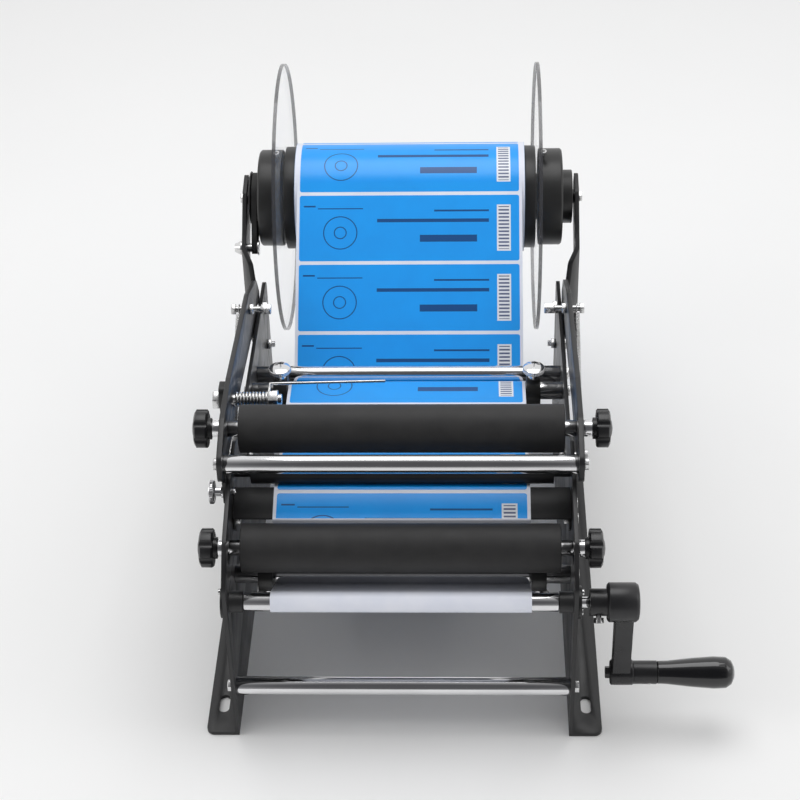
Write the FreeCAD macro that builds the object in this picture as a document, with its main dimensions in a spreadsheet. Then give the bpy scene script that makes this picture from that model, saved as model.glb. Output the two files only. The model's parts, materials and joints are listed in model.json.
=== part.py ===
import FreeCAD, Part
import math
import os
import Sketcher
from FreeCAD import Placement, Rotation, Vector

# Hand-cranked bottle labeller.  X runs along the rollers, with the crank at +X.  Y runs from
# the operator's side to the label reel.  Z is up, and the feet stand on Z = 0.  Lengths below
# are measured from the middle of the machine's width and from the front of its feet; the last
# two rows of the sheet then carry everything to the middle of the overall box.

SIZES = [
    ("inner_width", 250), ("plate_wall", 3), ("plate_length", 381),
    ("plate_front", 148), ("plate_crest", 190), ("plate_rear", 163), ("plate_round", 9),
    ("foot_width", 22), ("foot_round", 6), ("slot_width", 8), ("slot_length", 18),
    ("slot_inset", 30), ("rod_radius", 7), ("bolt_radius", 2.5), ("bolt_flats", 8),
    ("bolt_head", 3.5), ("bolt_depth", 10), ("hole_gap", 0.1), ("fit_gap", 0.05),
    ("clear_gap", 0.3),
    ("tie_y", 10), ("tie_z", 43), ("rear_rod_y", 272), ("rear_rod_z", 140),
    ("middle_rod_y", 233), ("middle_rod_z", 152), ("front_rod_y", 56), ("front_rod_z", 114),
    ("drive_y", 17), ("drive_z", 122), ("drive_radius", 7), ("shaft_radius", 4),
    ("bearing_reach", 10), ("barrel_radius", 8), ("flange_radius", 12), ("flange_wall", 3),
    ("screw_radius", 1.4), ("screw_circle", 9.8),
    ("lower_y", 41), ("lower_z", 153), ("roller_radius", 18), ("roller_end_gap", 9),
    ("axle_radius", 6), ("stud_radius", 4), ("slot_travel", 12),
    ("knob_radius", 14.5), ("knob_wall", 10), ("knob_hub", 8), ("knob_hub_wall", 2.6),
    ("knob_dome", 2), ("lower_spacer", 6), ("upper_spacer", 8),
    ("idler_y", 98), ("idler_z", 177), ("idler_radius", 8), ("idler_end_gap", 12.5),
    ("idler_stub", 3),
    ("peel_top_y", 88), ("peel_top_z", 171.5), ("peel_edge_y", 64), ("peel_edge_z", 161.5),
    ("peel_wall", 1.6), ("tab_drop", 20),
    ("arm_gap", 1), ("arm_wall", 4), ("press_y", 75), ("press_z", 204),
    ("upper_y", 112), ("upper_z", 208), ("pivot_y", 340),
    ("pivot_z", 160), ("pivot_radius", 4), ("spring_y", 283), ("spring_z", 198),
    ("anchor_y", 175), ("anchor_z", 132), ("spring_radius", 2.75), ("spring_out", 4),
    ("hook_radius", 3.7), ("hook_wire", 0.6),
    ("wire_y", 152), ("wire_z", 205), ("wire_bolt_radius", 4), ("wire_flats", 13),
    ("wire_head", 5.3), ("lug_wall", 6), ("coil_radius", 6), ("coil_length", 27),
    ("wire_radius", 1.2), ("wire_reach", 88), ("nut_wall", 7),
    ("stop_y", 76), ("stop_z", 177), ("stop_wall", 3),
    ("reel_y", 432), ("reel_z", 213), ("reel_radius", 115), ("disc_wall", 3),
    ("disc_gap", 9.5), ("roll_radius", 47), ("roll_lip", 2.5), ("core_radius", 38),
    ("plug_radius", 44), ("plug_depth", 12), ("hub_radius", 41.5), ("hub_width", 20),
    ("pulley_radius", 23), ("groove_radius", 20), ("pulley_width", 9),
    ("reel_arm_wall", 3.5), ("reel_arm_gap", 2), ("belt_wall", 1.6), ("belt_width", 4.4),
    ("belt_y", 394), ("belt_z", 186),
    ("collar_radius", 13), ("collar_width", 11), ("web_side_gap", 30), ("web_wall", 0.4),
    ("thumb_radius", 9), ("thumb_head", 6), ("thumb_neck", 6), ("thumb_shank", 2.5),
    ("crank_gap", 6), ("crank_hub", 10), ("crank_hub_length", 12.5), ("crank_head", 14.5),
    ("crank_head_length", 23.5), ("crank_throw", 71), ("crank_end", 9.5),
    ("crank_web", 13), ("crank_web_step", 6.5), ("neck_radius", 8.75), ("neck_length", 16.5),
    ("grip_length", 57), ("grip_radius", 12),
    ("middle_x", -46), ("middle_y", -273.5),
]

doc = FreeCAD.newDocument("bottle_labeller")
sizes = doc.addObject("Spreadsheet::Sheet", "sizes")
for row, (alias, number) in enumerate(SIZES, start=1):
    sizes.set(f"A{row}", alias)
    sizes.set(f"B{row}", str(number))
    sizes.setAlias(f"B{row}", alias)
doc.recompute()


class Length:
    """A length with its number and the sheet formula that gives it."""

    def __init__(self, number, text):
        self.number = number
        self.text = text

    def __add__(self, other):
        other = length(other)
        return Length(self.number + other.number, f"({self.text} + {other.text})")

    def __sub__(self, other):
        other = length(other)
        return Length(self.number - other.number, f"({self.text} - {other.text})")

    def __mul__(self, factor):
        return Length(self.number * factor, f"({self.text} * {factor})")

    def __neg__(self):
        return self * -1

    __radd__ = __add__
    __rmul__ = __mul__


def length(value):
    return value if isinstance(value, Length) else Length(float(value), f"({value})")


def size(alias):
    return Length(float(sizes.get(alias)), f"sizes.{alias}")


def place(item, x, y, z, turn=None):
    """Put an object at a point of the machine, bound to the sheet."""
    spot = (x + size("middle_x"), y + size("middle_y"), length(z))
    item.Placement = Placement(Vector(*(c.number for c in spot)), turn or Rotation())
    for axis, coordinate in zip("xyz", spot):
        item.setExpression(f"Placement.Base.{axis}", coordinate.text)
    return item


ZERO = length(0)
nodes = []


def node(item, name):
    """Give a finished piece the name of its file."""
    item.Label = name
    nodes.append((name, item))
    return item


def fresh(kind, name):
    return doc.addObject(kind, name)


def plane(body, role):
    return next(f for f in body.Origin.OriginFeatures if f.Role == role)


def outline(body, role, points, lift=None):
    """Sketch a closed polygon with every point tied to the sheet."""
    sketch = body.newObject("Sketcher::SketchObject", "outline")
    sketch.AttachmentSupport = (plane(body, role), [""])
    sketch.MapMode = "FlatFace"
    if lift is not None:
        sketch.AttachmentOffset = Placement(Vector(0, 0, lift.number), Rotation())
        sketch.setExpression("AttachmentOffset.Base.z", lift.text)
    points = [(length(a), length(b)) for a, b in points]
    corners = [Vector(a.number, b.number, 0) for a, b in points]
    count = len(corners)
    for i in range(count):
        sketch.addGeometry(Part.LineSegment(corners[i], corners[(i + 1) % count]), False)
    for i in range(count):
        sketch.addConstraint(Sketcher.Constraint("Coincident", i, 2, (i + 1) % count, 1))
    for i, (a, b) in enumerate(points):
        tie(sketch, Sketcher.Constraint("DistanceX", -1, 1, i, 1, a.number), a)
        tie(sketch, Sketcher.Constraint("DistanceY", -1, 1, i, 1, b.number), b)
    return sketch


def tie(sketch, constraint, amount):
    i = sketch.addConstraint(constraint)
    sketch.setExpression(f"Constraints[{i}]", amount.text)


def pad(body, sketch, depth, both=False):
    item = body.newObject("PartDesign::Pad", "pad")
    item.Profile = sketch
    item.Length = length(depth).number
    item.setExpression("Length", length(depth).text)
    item.Midplane = both
    return item


def turned(name, profile):
    """A body of revolution about its own X, from (x, radius) points."""
    body = fresh("PartDesign::Body", name)
    sketch = outline(body, "XZ_Plane", profile)
    item = body.newObject("PartDesign::Revolution", "revolution")
    item.Profile = sketch
    item.ReferenceAxis = (sketch, ["H_Axis"])
    item.Angle = 360
    return body


def tube(name, x0, x1, outer, inner, y, z):
    """A plain sleeve or shaft along X."""
    profile = [(x0, inner), (x0, outer), (x1, outer), (x1, inner)]
    return place(turned(name, profile), ZERO, y, z)


def bar(name, x0, x1, radius, y, z):
    """A round bar along X from x0 to x1."""
    item = fresh("Part::Cylinder", name)
    item.setExpression("Radius", length(radius).text)
    item.setExpression("Height", (x1 - x0).text)
    return place(item, length(x0), y, z, Rotation(Vector(0, 1, 0), 90))


def hex_prism(name, x0, x1, flats, y, z):
    item = fresh("Part::Prism", name)
    item.Polygon = 6
    item.setExpression("Circumradius", (length(flats) * (1 / math.sqrt(3))).text)
    item.setExpression("Height", (x1 - x0).text)
    return place(item, length(x0), y, z, Rotation(Vector(0, 1, 0), 90))


def fuse(name, items):
    item = fresh("Part::MultiFuse", name)
    item.Shapes = items
    item.Refine = True
    return item


def cut(name, base, tools):
    tool = tools[0] if len(tools) == 1 else fuse(f"{name}_tools", tools)
    item = fresh("Part::Cut", name)
    item.Base = base
    item.Tool = tool
    item.Refine = True
    return item


def group(name, items):
    item = fresh("Part::Compound", name)
    item.Links = items
    return item


def ordered(side, near, far):
    """Two |X| values as a low and a high X on the left (-1) or right (+1)."""
    return (near, far) if side > 0 else (-far, -near)


def hex_bolt(name, side, face, shank, y, z, flats="bolt_flats", head="bolt_head",
             radius="bolt_radius"):
    """A hexagon bolt whose head seats on an outer face at |X| = face."""
    head_x = ordered(side, face, face + size(head))
    shank_x = ordered(side, face - shank, face + size(head) * 0.5)
    return fuse(name, [hex_prism(f"{name}_head", *head_x, size(flats), y, z),
                       bar(f"{name}_shank", *shank_x, size(radius), y, z)])


half = size("inner_width") * 0.5
outer = half + size("plate_wall")
arm_in = outer + size("arm_gap")
arm_out = arm_in + size("arm_wall")
web_half = half - size("web_side_gap")
roll_half = web_half + size("roll_lip")
disc_in = roll_half + size("disc_gap")
disc_out = disc_in + size("disc_wall")
hub_out = disc_out + size("hub_width")
pulley_out = hub_out + size("pulley_width")
reel_arm_in = pulley_out + size("reel_arm_gap")
reel_face = reel_arm_in + size("reel_arm_wall")
crank_hub_in = outer + size("flange_wall") + size("crank_gap")
crank_head_in = crank_hub_in + size("crank_hub_length")
crank_out = crank_head_in + size("crank_head_length")
bolt_hole = size("bolt_radius") + size("hole_gap")
stud_hole = size("stud_radius") + size("clear_gap")
SIDES = ((-1, "left"), (1, "right"))


def spot(alias):
    return size(f"{alias}_y"), size(f"{alias}_z")


def soften(body, base, wanted, radius):
    """Round the edges of a plate that run along X and whose middle passes a test."""
    doc.recompute()
    picked = []
    for i, edge in enumerate(base.Shape.Edges, start=1):
        box = edge.BoundBox
        if box.YLength < 0.01 and box.ZLength < 0.01 and wanted(box.YMin, box.ZMin):
            picked.append(f"Edge{i}")
    item = body.newObject("PartDesign::Fillet", "rounding")
    item.Base = (base, picked)
    item.Radius = length(radius).number
    item.setExpression("Radius", length(radius).text)
    return item


def plate(name, points, x, thickness, radius, wanted):
    """A flat plate in the YZ plane with its inner face at x and rounded corners."""
    body = fresh("PartDesign::Body", name)
    sketch = outline(body, "YZ_Plane", points, lift=x)
    wall = pad(body, sketch, thickness)
    if radius:
        soften(body, wall, wanted, radius)
    return place(body, ZERO, ZERO, ZERO)


def slab(name, x0, x1, y0, y1, z0, z1):
    """A square block between bound planes."""
    item = fresh("Part::Box", name)
    item.setExpression("Length", (length(x1) - x0).text)
    item.setExpression("Width", (length(y1) - y0).text)
    item.setExpression("Height", (length(z1) - z0).text)
    return place(item, length(x0), length(y0), length(z0))


def upright(name, x, y, radius, z0, z1):
    """A round bar along Z."""
    item = fresh("Part::Cylinder", name)
    item.setExpression("Radius", length(radius).text)
    item.setExpression("Height", (length(z1) - z0).text)
    return place(item, length(x), length(y), length(z0))


def drill(name, side, radius, y, z):
    """A tool that drills a side wall right through along X."""
    low, high = ordered(side, half - 20, arm_out + 20)
    return bar(name, low, high, radius, y, z)


# ---- side plates: a tall wall with its foot flange turned outward ----

def side_plate(side, name):
    crest, rear = size("plate_crest"), size("plate_length")
    shoulder = crest - 18
    points = [(0, 0), (0, size("plate_front")), (24, shoulder), (size("stop_y"), crest),
              (size("idler_y") + 22, crest), (size("idler_y") + 54, shoulder),
              (rear, size("plate_rear")), (rear, 0)]
    low, high = ordered(side, half, outer)
    wall = plate(f"{name}_wall", points, low, size("plate_wall"), size("plate_round"),
                 lambda y, z: z > 50)
    foot_low, foot_high = ordered(side, half, outer + size("foot_width"))
    foot = slab(f"{name}_foot", foot_low, foot_high, ZERO, rear, ZERO, size("plate_wall"))
    blank = fuse(f"{name}_blank", [wall, foot])
    corner = size("foot_round")
    edge_x = (outer + size("foot_width")) * side
    tools = []
    for end, y in (("front", ZERO), ("rear", rear)):
        sign = 1 if end == "front" else -1
        square = slab(f"{name}_{end}_corner", *ordered(side, outer + size("foot_width") - corner,
                      outer + size("foot_width") + 1), *((y - 1, y + corner) if sign > 0
                      else (y - corner, y + 1)), ZERO - 1, size("plate_wall") + 1)
        keep = upright(f"{name}_{end}_keep", edge_x - corner * side, y + corner * sign, corner,
                       ZERO - 2, size("plate_wall") + 2)
        tools.append(cut(f"{name}_{end}_waste", square, [keep]))
        slot_y = y + size("slot_inset") * sign
        run = (size("slot_length") - size("slot_width")) * 0.5
        radius = size("slot_width") * 0.5
        x = (outer + size("foot_width") * 0.5) * side
        tools += [upright(f"{name}_{end}_slot_a", x, slot_y - run, radius, ZERO - 1, length(9)),
                  upright(f"{name}_{end}_slot_b", x, slot_y + run, radius, ZERO - 1, length(9)),
                  slab(f"{name}_{end}_slot", x - radius, x + radius, slot_y - run,
                       slot_y + run, ZERO - 1, length(9))]
    for rod in ("tie", "rear_rod", "middle_rod", "front_rod", "anchor"):
        tools.append(drill(f"{name}_{rod}_hole", side, bolt_hole, *spot(rod)))
    tools.append(drill(f"{name}_bearing_hole", side, size("barrel_radius") + size("fit_gap"),
                       *spot("drive")))
    tools.append(drill(f"{name}_idler_hole", side, size("idler_stub") + size("fit_gap"),
                       *spot("idler")))
    tools.append(drill(f"{name}_pivot_hole", side, size("pivot_radius") * 0.75
                       + size("hole_gap"), *spot("pivot")))
    for k, (y, z) in enumerate(peel_screws() + arm_screws()):
        tools.append(drill(f"{name}_screw_hole_{k}", side, bolt_hole, y, z))
    for k, (y, z) in enumerate(bearing_screws()):
        tools.append(drill(f"{name}_bearing_screw_{k}", side, size("screw_radius")
                           + size("hole_gap"), y, z))
    if side < 0:
        tools.append(drill(f"{name}_stop_hole", side, bolt_hole, *spot("stop")))
    y, z = spot("lower")
    low, high = ordered(side, half - 20, outer + 20)
    tools += [drill(f"{name}_axle_rear", side, stud_hole, y, z),
              drill(f"{name}_axle_front", side, stud_hole, y - size("slot_travel"), z),
              slab(f"{name}_axle_slot", low, high, y - size("slot_travel"), y, z - stud_hole,
                   z + stud_hole)]
    node(cut(name, blank, tools), name)


def peel_screws():
    y, z = spot("peel_edge")
    return [(y + 7, z - 6), (y + 21, z - 3)]


def arm_screws():
    y = size("pivot_y")
    z = size("pivot_z") - 46
    return [(y - 30, z), (y + 12, z)]


def bearing_screws():
    y, z = spot("drive")
    return [(y, z + size("screw_circle")), (y, z - size("screw_circle"))]


for side, word in SIDES:
    side_plate(side, f"side_plate_{word}")


# ---- cross rods, tapped at both ends, and their hexagon bolts ----

def tapped_rod(name, radius, reach, y, z):
    hole = bolt_hole
    depth = size("bolt_depth") + 2
    profile = [(-reach, hole), (-reach, radius), (reach, radius), (reach, hole),
               (reach - depth, hole), (reach - depth, ZERO), (depth - reach, ZERO),
               (depth - reach, hole)]
    node(place(turned(name, profile), ZERO, y, z), name)


bolts = []
for rod, name in (("tie", "tie_rod"), ("rear_rod", "web_rod_rear"),
                  ("middle_rod", "web_rod_middle"), ("front_rod", "web_rod_front")):
    tapped_rod(name, size("rod_radius"), half, *spot(rod))
    for side, word in SIDES:
        bolts.append(hex_bolt(f"{name}_bolt_{word}", side, outer, size("plate_wall")
                              + size("bolt_depth"), *spot(rod)))

tapped_rod("reel_axle", size("axle_radius"), reel_arm_in, *spot("reel"))
for side, word in SIDES:
    bolts.append(hex_bolt(f"axle_bolt_{word}", side, reel_face, size("reel_arm_wall")
                          + size("bolt_depth"), *spot("reel")))


# ---- drive roller in its two flanged bearings, with the crank ----

screws = []
for side, word in SIDES:
    shaft_hole = size("shaft_radius") + size("fit_gap")
    barrel = size("barrel_radius")
    face = outer + size("flange_wall")
    profile = [(half - size("bearing_reach"), shaft_hole), (half - size("bearing_reach"), barrel),
               (outer, barrel), (outer, size("flange_radius")), (face, size("flange_radius")),
               (face, shaft_hole)]
    blank = turned(f"bearing_{word}", [(x * side, r) for x, r in profile])
    place(blank, ZERO, *spot("drive"))
    holes = [drill(f"bearing_{word}_hole_{k}", side, size("screw_radius") + size("hole_gap"), y, z)
             for k, (y, z) in enumerate(bearing_screws())]
    node(cut(f"drive_bearing_{word}", blank, holes), f"drive_bearing_{word}")
    for k, (y, z) in enumerate(bearing_screws()):
        low, high = ordered(side, face, face + 1.8)
        shank = ordered(side, half, face + 1)
        screws.append(fuse(f"bearing_screw_{word}_{k}",
                           [bar(f"bearing_screw_head_{word}_{k}", low, high, 2.1, y, z),
                            bar(f"bearing_screw_shank_{word}_{k}", *shank,
                                size("screw_radius"), y, z)]))

drive_end = half - size("bearing_reach") - 0.5
shaft = size("shaft_radius")
node(place(turned("drive_roller", [
    (-outer - size("flange_wall") - 1, ZERO), (-outer - size("flange_wall") - 1, shaft),
    (-drive_end, shaft), (-drive_end, size("drive_radius")), (drive_end, size("drive_radius")),
    (drive_end, shaft), (crank_out - 3, shaft), (crank_out - 3, ZERO)]),
    ZERO, *spot("drive")), "drive_roller")


def crank():
    """Cast crank hanging straight down: hub, head, tapered web and pin boss."""
    y, z = spot("drive")
    low = z - size("crank_throw")
    bore = shaft + size("fit_gap")
    end = crank_out
    head = size("crank_head")
    hub = turned("crank_hub", [
        (crank_hub_in, ZERO), (crank_hub_in, size("crank_hub")),
        (crank_head_in, size("crank_hub")), (crank_head_in, head - 1.5),
        (crank_head_in + 1.5, head), (end - 3, head), (end - 0.8, head - 1.5),
        (end, head - 5), (end, ZERO)])
    place(hub, ZERO, y, z)
    boss = turned("crank_boss", [
        (crank_head_in + 5, ZERO), (crank_head_in + 5, size("crank_end") - 1),
        (crank_head_in + 6, size("crank_end")), (end - 2, size("crank_end")),
        (end - 1, size("crank_end") - 1), (end - 1, ZERO)])
    place(boss, ZERO, y, low)
    web = plate("crank_web", [(y - 9.5, z), (y + 9.5, z), (y + 7.2, low), (y - 7.2, low)],
                crank_head_in + size("crank_web_step"), size("crank_web"), 0, None)
    blank = fuse("crank_blank", [hub, boss, web])
    holes = [bar("crank_bore", crank_hub_in - 1, end - 2.5, bore, y, z),
             bar("crank_pin_bore", crank_head_in, end + 5, bore, y, low)]
    node(cut("crank_arm", blank, holes), "crank_arm")
    return y, low


pin_y, pin_z = crank()
grip_start = crank_out + size("neck_length")
grip_end = grip_start + size("grip_length")
pin_head = crank_head_in + 5
pin = fuse("grip_pin", [
    hex_prism("grip_pin_head", pin_head - size("bolt_head"), pin_head, size("bolt_flats"),
              pin_y, pin_z),
    bar("grip_pin_shank", pin_head - 1, grip_end - 8, shaft, pin_y, pin_z),
    tube("grip_pin_neck", crank_out - 1, grip_start - size("clear_gap"),
         size("neck_radius"), shaft * 0.5, pin_y, pin_z)])
node(pin, "grip_pin")
grip = size("grip_radius")
grip_bore = shaft + size("fit_gap")
node(place(turned("crank_grip", [
    (grip_start, grip_bore), (grip_start, grip - 3.5), (grip_start + 8, grip - 3.2),
    (grip_start + 26, grip - 1.2), (grip_start + 42, grip), (grip_end - 6, grip - 0.4),
    (grip_end - 2, grip - 3), (grip_end, grip - 7), (grip_end, ZERO),
    (grip_end - 7, ZERO), (grip_end - 7, grip_bore)]), ZERO, pin_y, pin_z), "crank_grip")


# ---- rubber rollers, their clamped axles and the star knobs ----

def axle_set(key, reach, roller_half, wall_face, spacer):
    """A roller on an axle whose studs are clamped by a spacer and a knob on each side."""
    y, z = spot(key)
    radius, stud = size("axle_radius"), size("stud_radius")
    tip = wall_face + spacer + size("knob_hub_wall") + size("knob_wall") - 3
    node(place(turned(f"{key}_axle", [
        (-tip, ZERO), (-tip, stud), (-reach, stud), (-reach, radius), (reach, radius),
        (reach, stud), (tip, stud), (tip, ZERO)]), ZERO, y, z), f"{key}_axle")
    node(tube(f"{key}_roller", -roller_half, roller_half, size("roller_radius"),
              radius + size("fit_gap"), y, z), f"{key}_roller")
    rings = []
    for side, word in SIDES:
        ring = ordered(side, wall_face, wall_face + spacer)
        rings.append(tube(f"{key}_spacer_{word}", *ring, radius + 0.2,
                          stud + size("fit_gap"), y, z))
        star_knob(f"{key}_knob_{word}", side, wall_face + spacer, y, z)
    node(group(f"{key}_spacers", rings), f"{key}_spacers")


def star_knob(name, side, seat, y, z):
    """A seven-lobed knob: hub, lobed rim and a shallow domed cap, threaded from inside."""
    rim, hub = size("knob_radius"), size("knob_hub")
    rim_x = seat + size("knob_hub_wall")
    top = rim_x + size("knob_wall")
    bore = size("stud_radius") + size("fit_gap")
    profile = [(seat, bore), (seat, hub), (rim_x, hub), (rim_x, rim - 1), (rim_x + 1, rim),
               (top - 1.5, rim), (top, rim - 2.5), (top, hub), (top + size("knob_dome") * 0.7,
               hub * 0.6), (top + size("knob_dome"), ZERO), (top - 2.5, ZERO),
               (top - 2.5, bore)]
    blank = turned(f"{name}_blank", [(x * side, r) for x, r in profile])
    place(blank, ZERO, y, z)
    notches = []
    for k in range(7):
        angle = 2 * math.pi * (k + 0.5) / 7
        reach = rim + 1.6
        notches.append(bar(f"{name}_notch_{k}", *ordered(side, rim_x - 1, top + 1), 3.4,
                           y + reach * math.cos(angle), z + reach * math.sin(angle)))
    node(cut(name, blank, notches), name)


axle_set("lower", half - size("clear_gap"), half - size("roller_end_gap"), outer,
         size("lower_spacer"))
axle_set("upper", arm_in, arm_in - size("roller_end_gap"), arm_out, size("upper_spacer"))

idler = half - size("idler_end_gap")
node(place(turned("idler_roller", [
    (-outer, ZERO), (-outer, size("idler_stub")), (-idler, size("idler_stub")),
    (-idler, size("idler_radius")), (idler, size("idler_radius")),
    (idler, size("idler_stub")), (outer, size("idler_stub")), (outer, ZERO)]),
    ZERO, *spot("idler")), "idler_roller")


# ---- peel plate: a folded sheet whose ends turn down along the side plates ----

def peel_plate():
    y0, z0 = spot("peel_edge")
    y1, z1 = spot("peel_top")
    wall = size("peel_wall")
    reach = half - size("clear_gap")
    body = fresh("PartDesign::Body", "peel_sheet")
    sketch = outline(body, "YZ_Plane", [
        (y0, z0), (y1, z1), (y1 + 1, z1 - wall), (y1 + 1, z1 - 9), (y1 - wall + 1, z1 - 9),
        (y1 - wall + 1, z1 - wall - 0.8), (y0 + 0.6, z0 - wall)])
    pad(body, sketch, reach * 2, both=True)
    pieces = [place(body, ZERO, ZERO, ZERO)]
    for side, word in SIDES:
        low, high = ordered(side, reach - wall, reach)
        pieces.append(plate(f"peel_tab_{word}", [
            (y0 + 1, z0 - wall), (y1 - 1, z1 - wall), (y1 - 1, z0 - size("tab_drop") * 0.6),
            (y0 + 9, z0 - size("tab_drop")), (y0 + 2, z0 - size("tab_drop") * 0.6)],
            low, wall, 0, None))
    blank = fuse("peel_blank", pieces)
    holes = []
    for k, (y, z) in enumerate(peel_screws()):
        holes.append(bar(f"peel_hole_{k}", -outer - 5, outer + 5, bolt_hole, y, z))
    node(cut("peel_plate", blank, holes), "peel_plate")
    for side, word in SIDES:
        for k, (y, z) in enumerate(peel_screws()):
            head = ordered(side, outer, outer + 2.2)
            shank = ordered(side, reach - wall - 1, outer + 1)
            nut = ordered(side, reach - wall - 3.5, reach - wall)
            screws.append(fuse(f"peel_screw_{word}_{k}", [
                bar(f"peel_head_{word}_{k}", *head, 3.8, y, z),
                bar(f"peel_shank_{word}_{k}", *shank, size("bolt_radius"), y, z),
                hex_prism(f"peel_nut_{word}_{k}", *nut, 7, y, z)]))


peel_plate()
node(group("frame_screws", screws), "frame_screws")


# ---- press arms: a pair of curved levers that carry the upper roller and the hand rod ----

def press_arm(side, name):
    low, high = ordered(side, arm_in, arm_out)
    rod_y, rod_z = spot("press")
    roller_y, roller_z = spot("upper")
    hook_y, hook_z = spot("spring")
    pivot_y, pivot_z = spot("pivot")
    points = [(rod_y - 11, rod_z - 11), (rod_y - 11, rod_z + 10),
              (roller_y - 12, roller_z + 19), (roller_y + 38, roller_z + 19),
              (hook_y + 7, hook_z + 10), (pivot_y + 5, pivot_z + 25),
              (pivot_y + 19, pivot_z + 4), (pivot_y + 10, pivot_z - 17),
              (pivot_y - 14, pivot_z - 17), (hook_y, hook_z - 30),
              (roller_y + 86, roller_z - 26), (roller_y + 8, roller_z - 20)]
    blank = plate(f"{name}_blank", points, low, size("arm_wall"), length(8), lambda y, z: True)
    tools = [drill(f"{name}_rod_hole", side, bolt_hole, *spot("press")),
             drill(f"{name}_stud_hole", side, size("stud_radius") + size("fit_gap"),
                   *spot("upper")),
             drill(f"{name}_spring_hole", side, bolt_hole, *spot("spring")),
             drill(f"{name}_pivot_hole", side, size("pivot_radius") + size("fit_gap"),
                   *spot("pivot"))]
    if side < 0:
        tools.append(drill(f"{name}_wire_hole", side, size("wire_bolt_radius")
                           + size("hole_gap"), *spot("wire")))
    node(cut(name, blank, tools), name)


for side, word in SIDES:
    press_arm(side, f"press_arm_{word}")
tapped_rod("press_rod", size("rod_radius"), arm_in, *spot("press"))

arm_bolts, pivots, anchors = [], [], []
spring_x = arm_out + size("spring_out")
for side, word in SIDES:
    arm_bolts.append(hex_bolt(f"press_bolt_{word}", side, arm_out, size("arm_wall")
                              + size("bolt_depth"), *spot("press")))
    spring_face = spring_x + size("spring_radius")
    arm_bolts.append(hex_bolt(f"spring_bolt_{word}", side, spring_face,
                              spring_face - arm_in + 18, *spot("spring")))
    y, z = spot("spring")
    nut_x = ordered(side, arm_in - size("bolt_head"), arm_in)
    end_x = ordered(side, arm_in - 18, arm_in - 10)
    arm_bolts[-1] = fuse(f"spring_stud_{word}", [
        arm_bolts[-1], hex_prism(f"spring_nut_{word}", *nut_x, size("bolt_flats"), y, z),
        hex_prism(f"spring_end_nut_{word}", *end_x, size("bolt_flats"), y, z)])
    anchors.append(hex_bolt(f"spring_anchor_{word}", side, spring_face,
                            spring_face - half + 4, *spot("anchor")))
    y, z = spot("anchor")
    nut_x = ordered(side, half - size("bolt_head"), half)
    anchors[-1] = fuse(f"spring_post_{word}", [
        anchors[-1], hex_prism(f"anchor_nut_{word}", *nut_x, size("bolt_flats"), y, z),
        tube(f"anchor_collar_{word}", *ordered(side, outer, outer + 2.5), 4.5,
             size("bolt_radius") * 0.8, y, z)])
    y, z = spot("pivot")
    pivot = size("pivot_radius")
    head = ordered(side, arm_out + size("clear_gap"), arm_out + 4)
    shoulder = ordered(side, outer, arm_out + 1)
    thread = ordered(side, half - 5, outer + 1)
    nut_x = ordered(side, half - 4, half)
    pivots.append(fuse(f"arm_pivot_{word}", [
        hex_prism(f"pivot_head_{word}", *head, size("wire_flats"), y, z),
        bar(f"pivot_shoulder_{word}", *shoulder, pivot, y, z),
        bar(f"pivot_thread_{word}", *thread, pivot * 0.75, y, z),
        hex_prism(f"pivot_nut_{word}", *nut_x, size("wire_flats") - 3, y, z)]))
node(group("press_arm_bolts", arm_bolts), "press_arm_bolts")
node(group("spring_anchors", anchors), "spring_anchors")
node(group("arm_pivots", pivots), "arm_pivots")


def tension_spring(side, name):
    """The closed coil of a tension spring as one tube, with a hook ring at each end."""
    y0, z0 = (c.number for c in spot("anchor"))
    y1, z1 = (c.number for c in spot("spring"))
    x = (spring_x * side).number
    low, high = Vector(x, y0, z0), Vector(x, y1, z1)
    run = high - low
    inset = size("hook_radius").number
    start = low + Vector(run).normalize() * inset
    coil = Part.makeCylinder(size("spring_radius").number, run.Length - 2 * inset, start, run)
    shape = coil
    for end in (low, high):
        ring = Part.makeTorus(size("hook_radius").number, size("hook_wire").number, end,
                              Vector(1, 0, 0))
        shape = shape.fuse(ring)
    for end in (low, high):
        shape = shape.cut(Part.makeCylinder(size("hook_radius").number
                          - size("hook_wire").number, 12, end - Vector(6, 0, 0),
                          Vector(1, 0, 0)))
    return feature(name, shape)


def feature(name, shape):
    item = fresh("Part::Feature", name)
    item.Shape = shape
    place(item, ZERO, ZERO, ZERO)
    return node(item, name)


for side, word in SIDES:
    tension_spring(side, f"arm_spring_{word}")


# ---- web hold-down wire on the left arm: bolt, lug, coil and long leg ----

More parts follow.
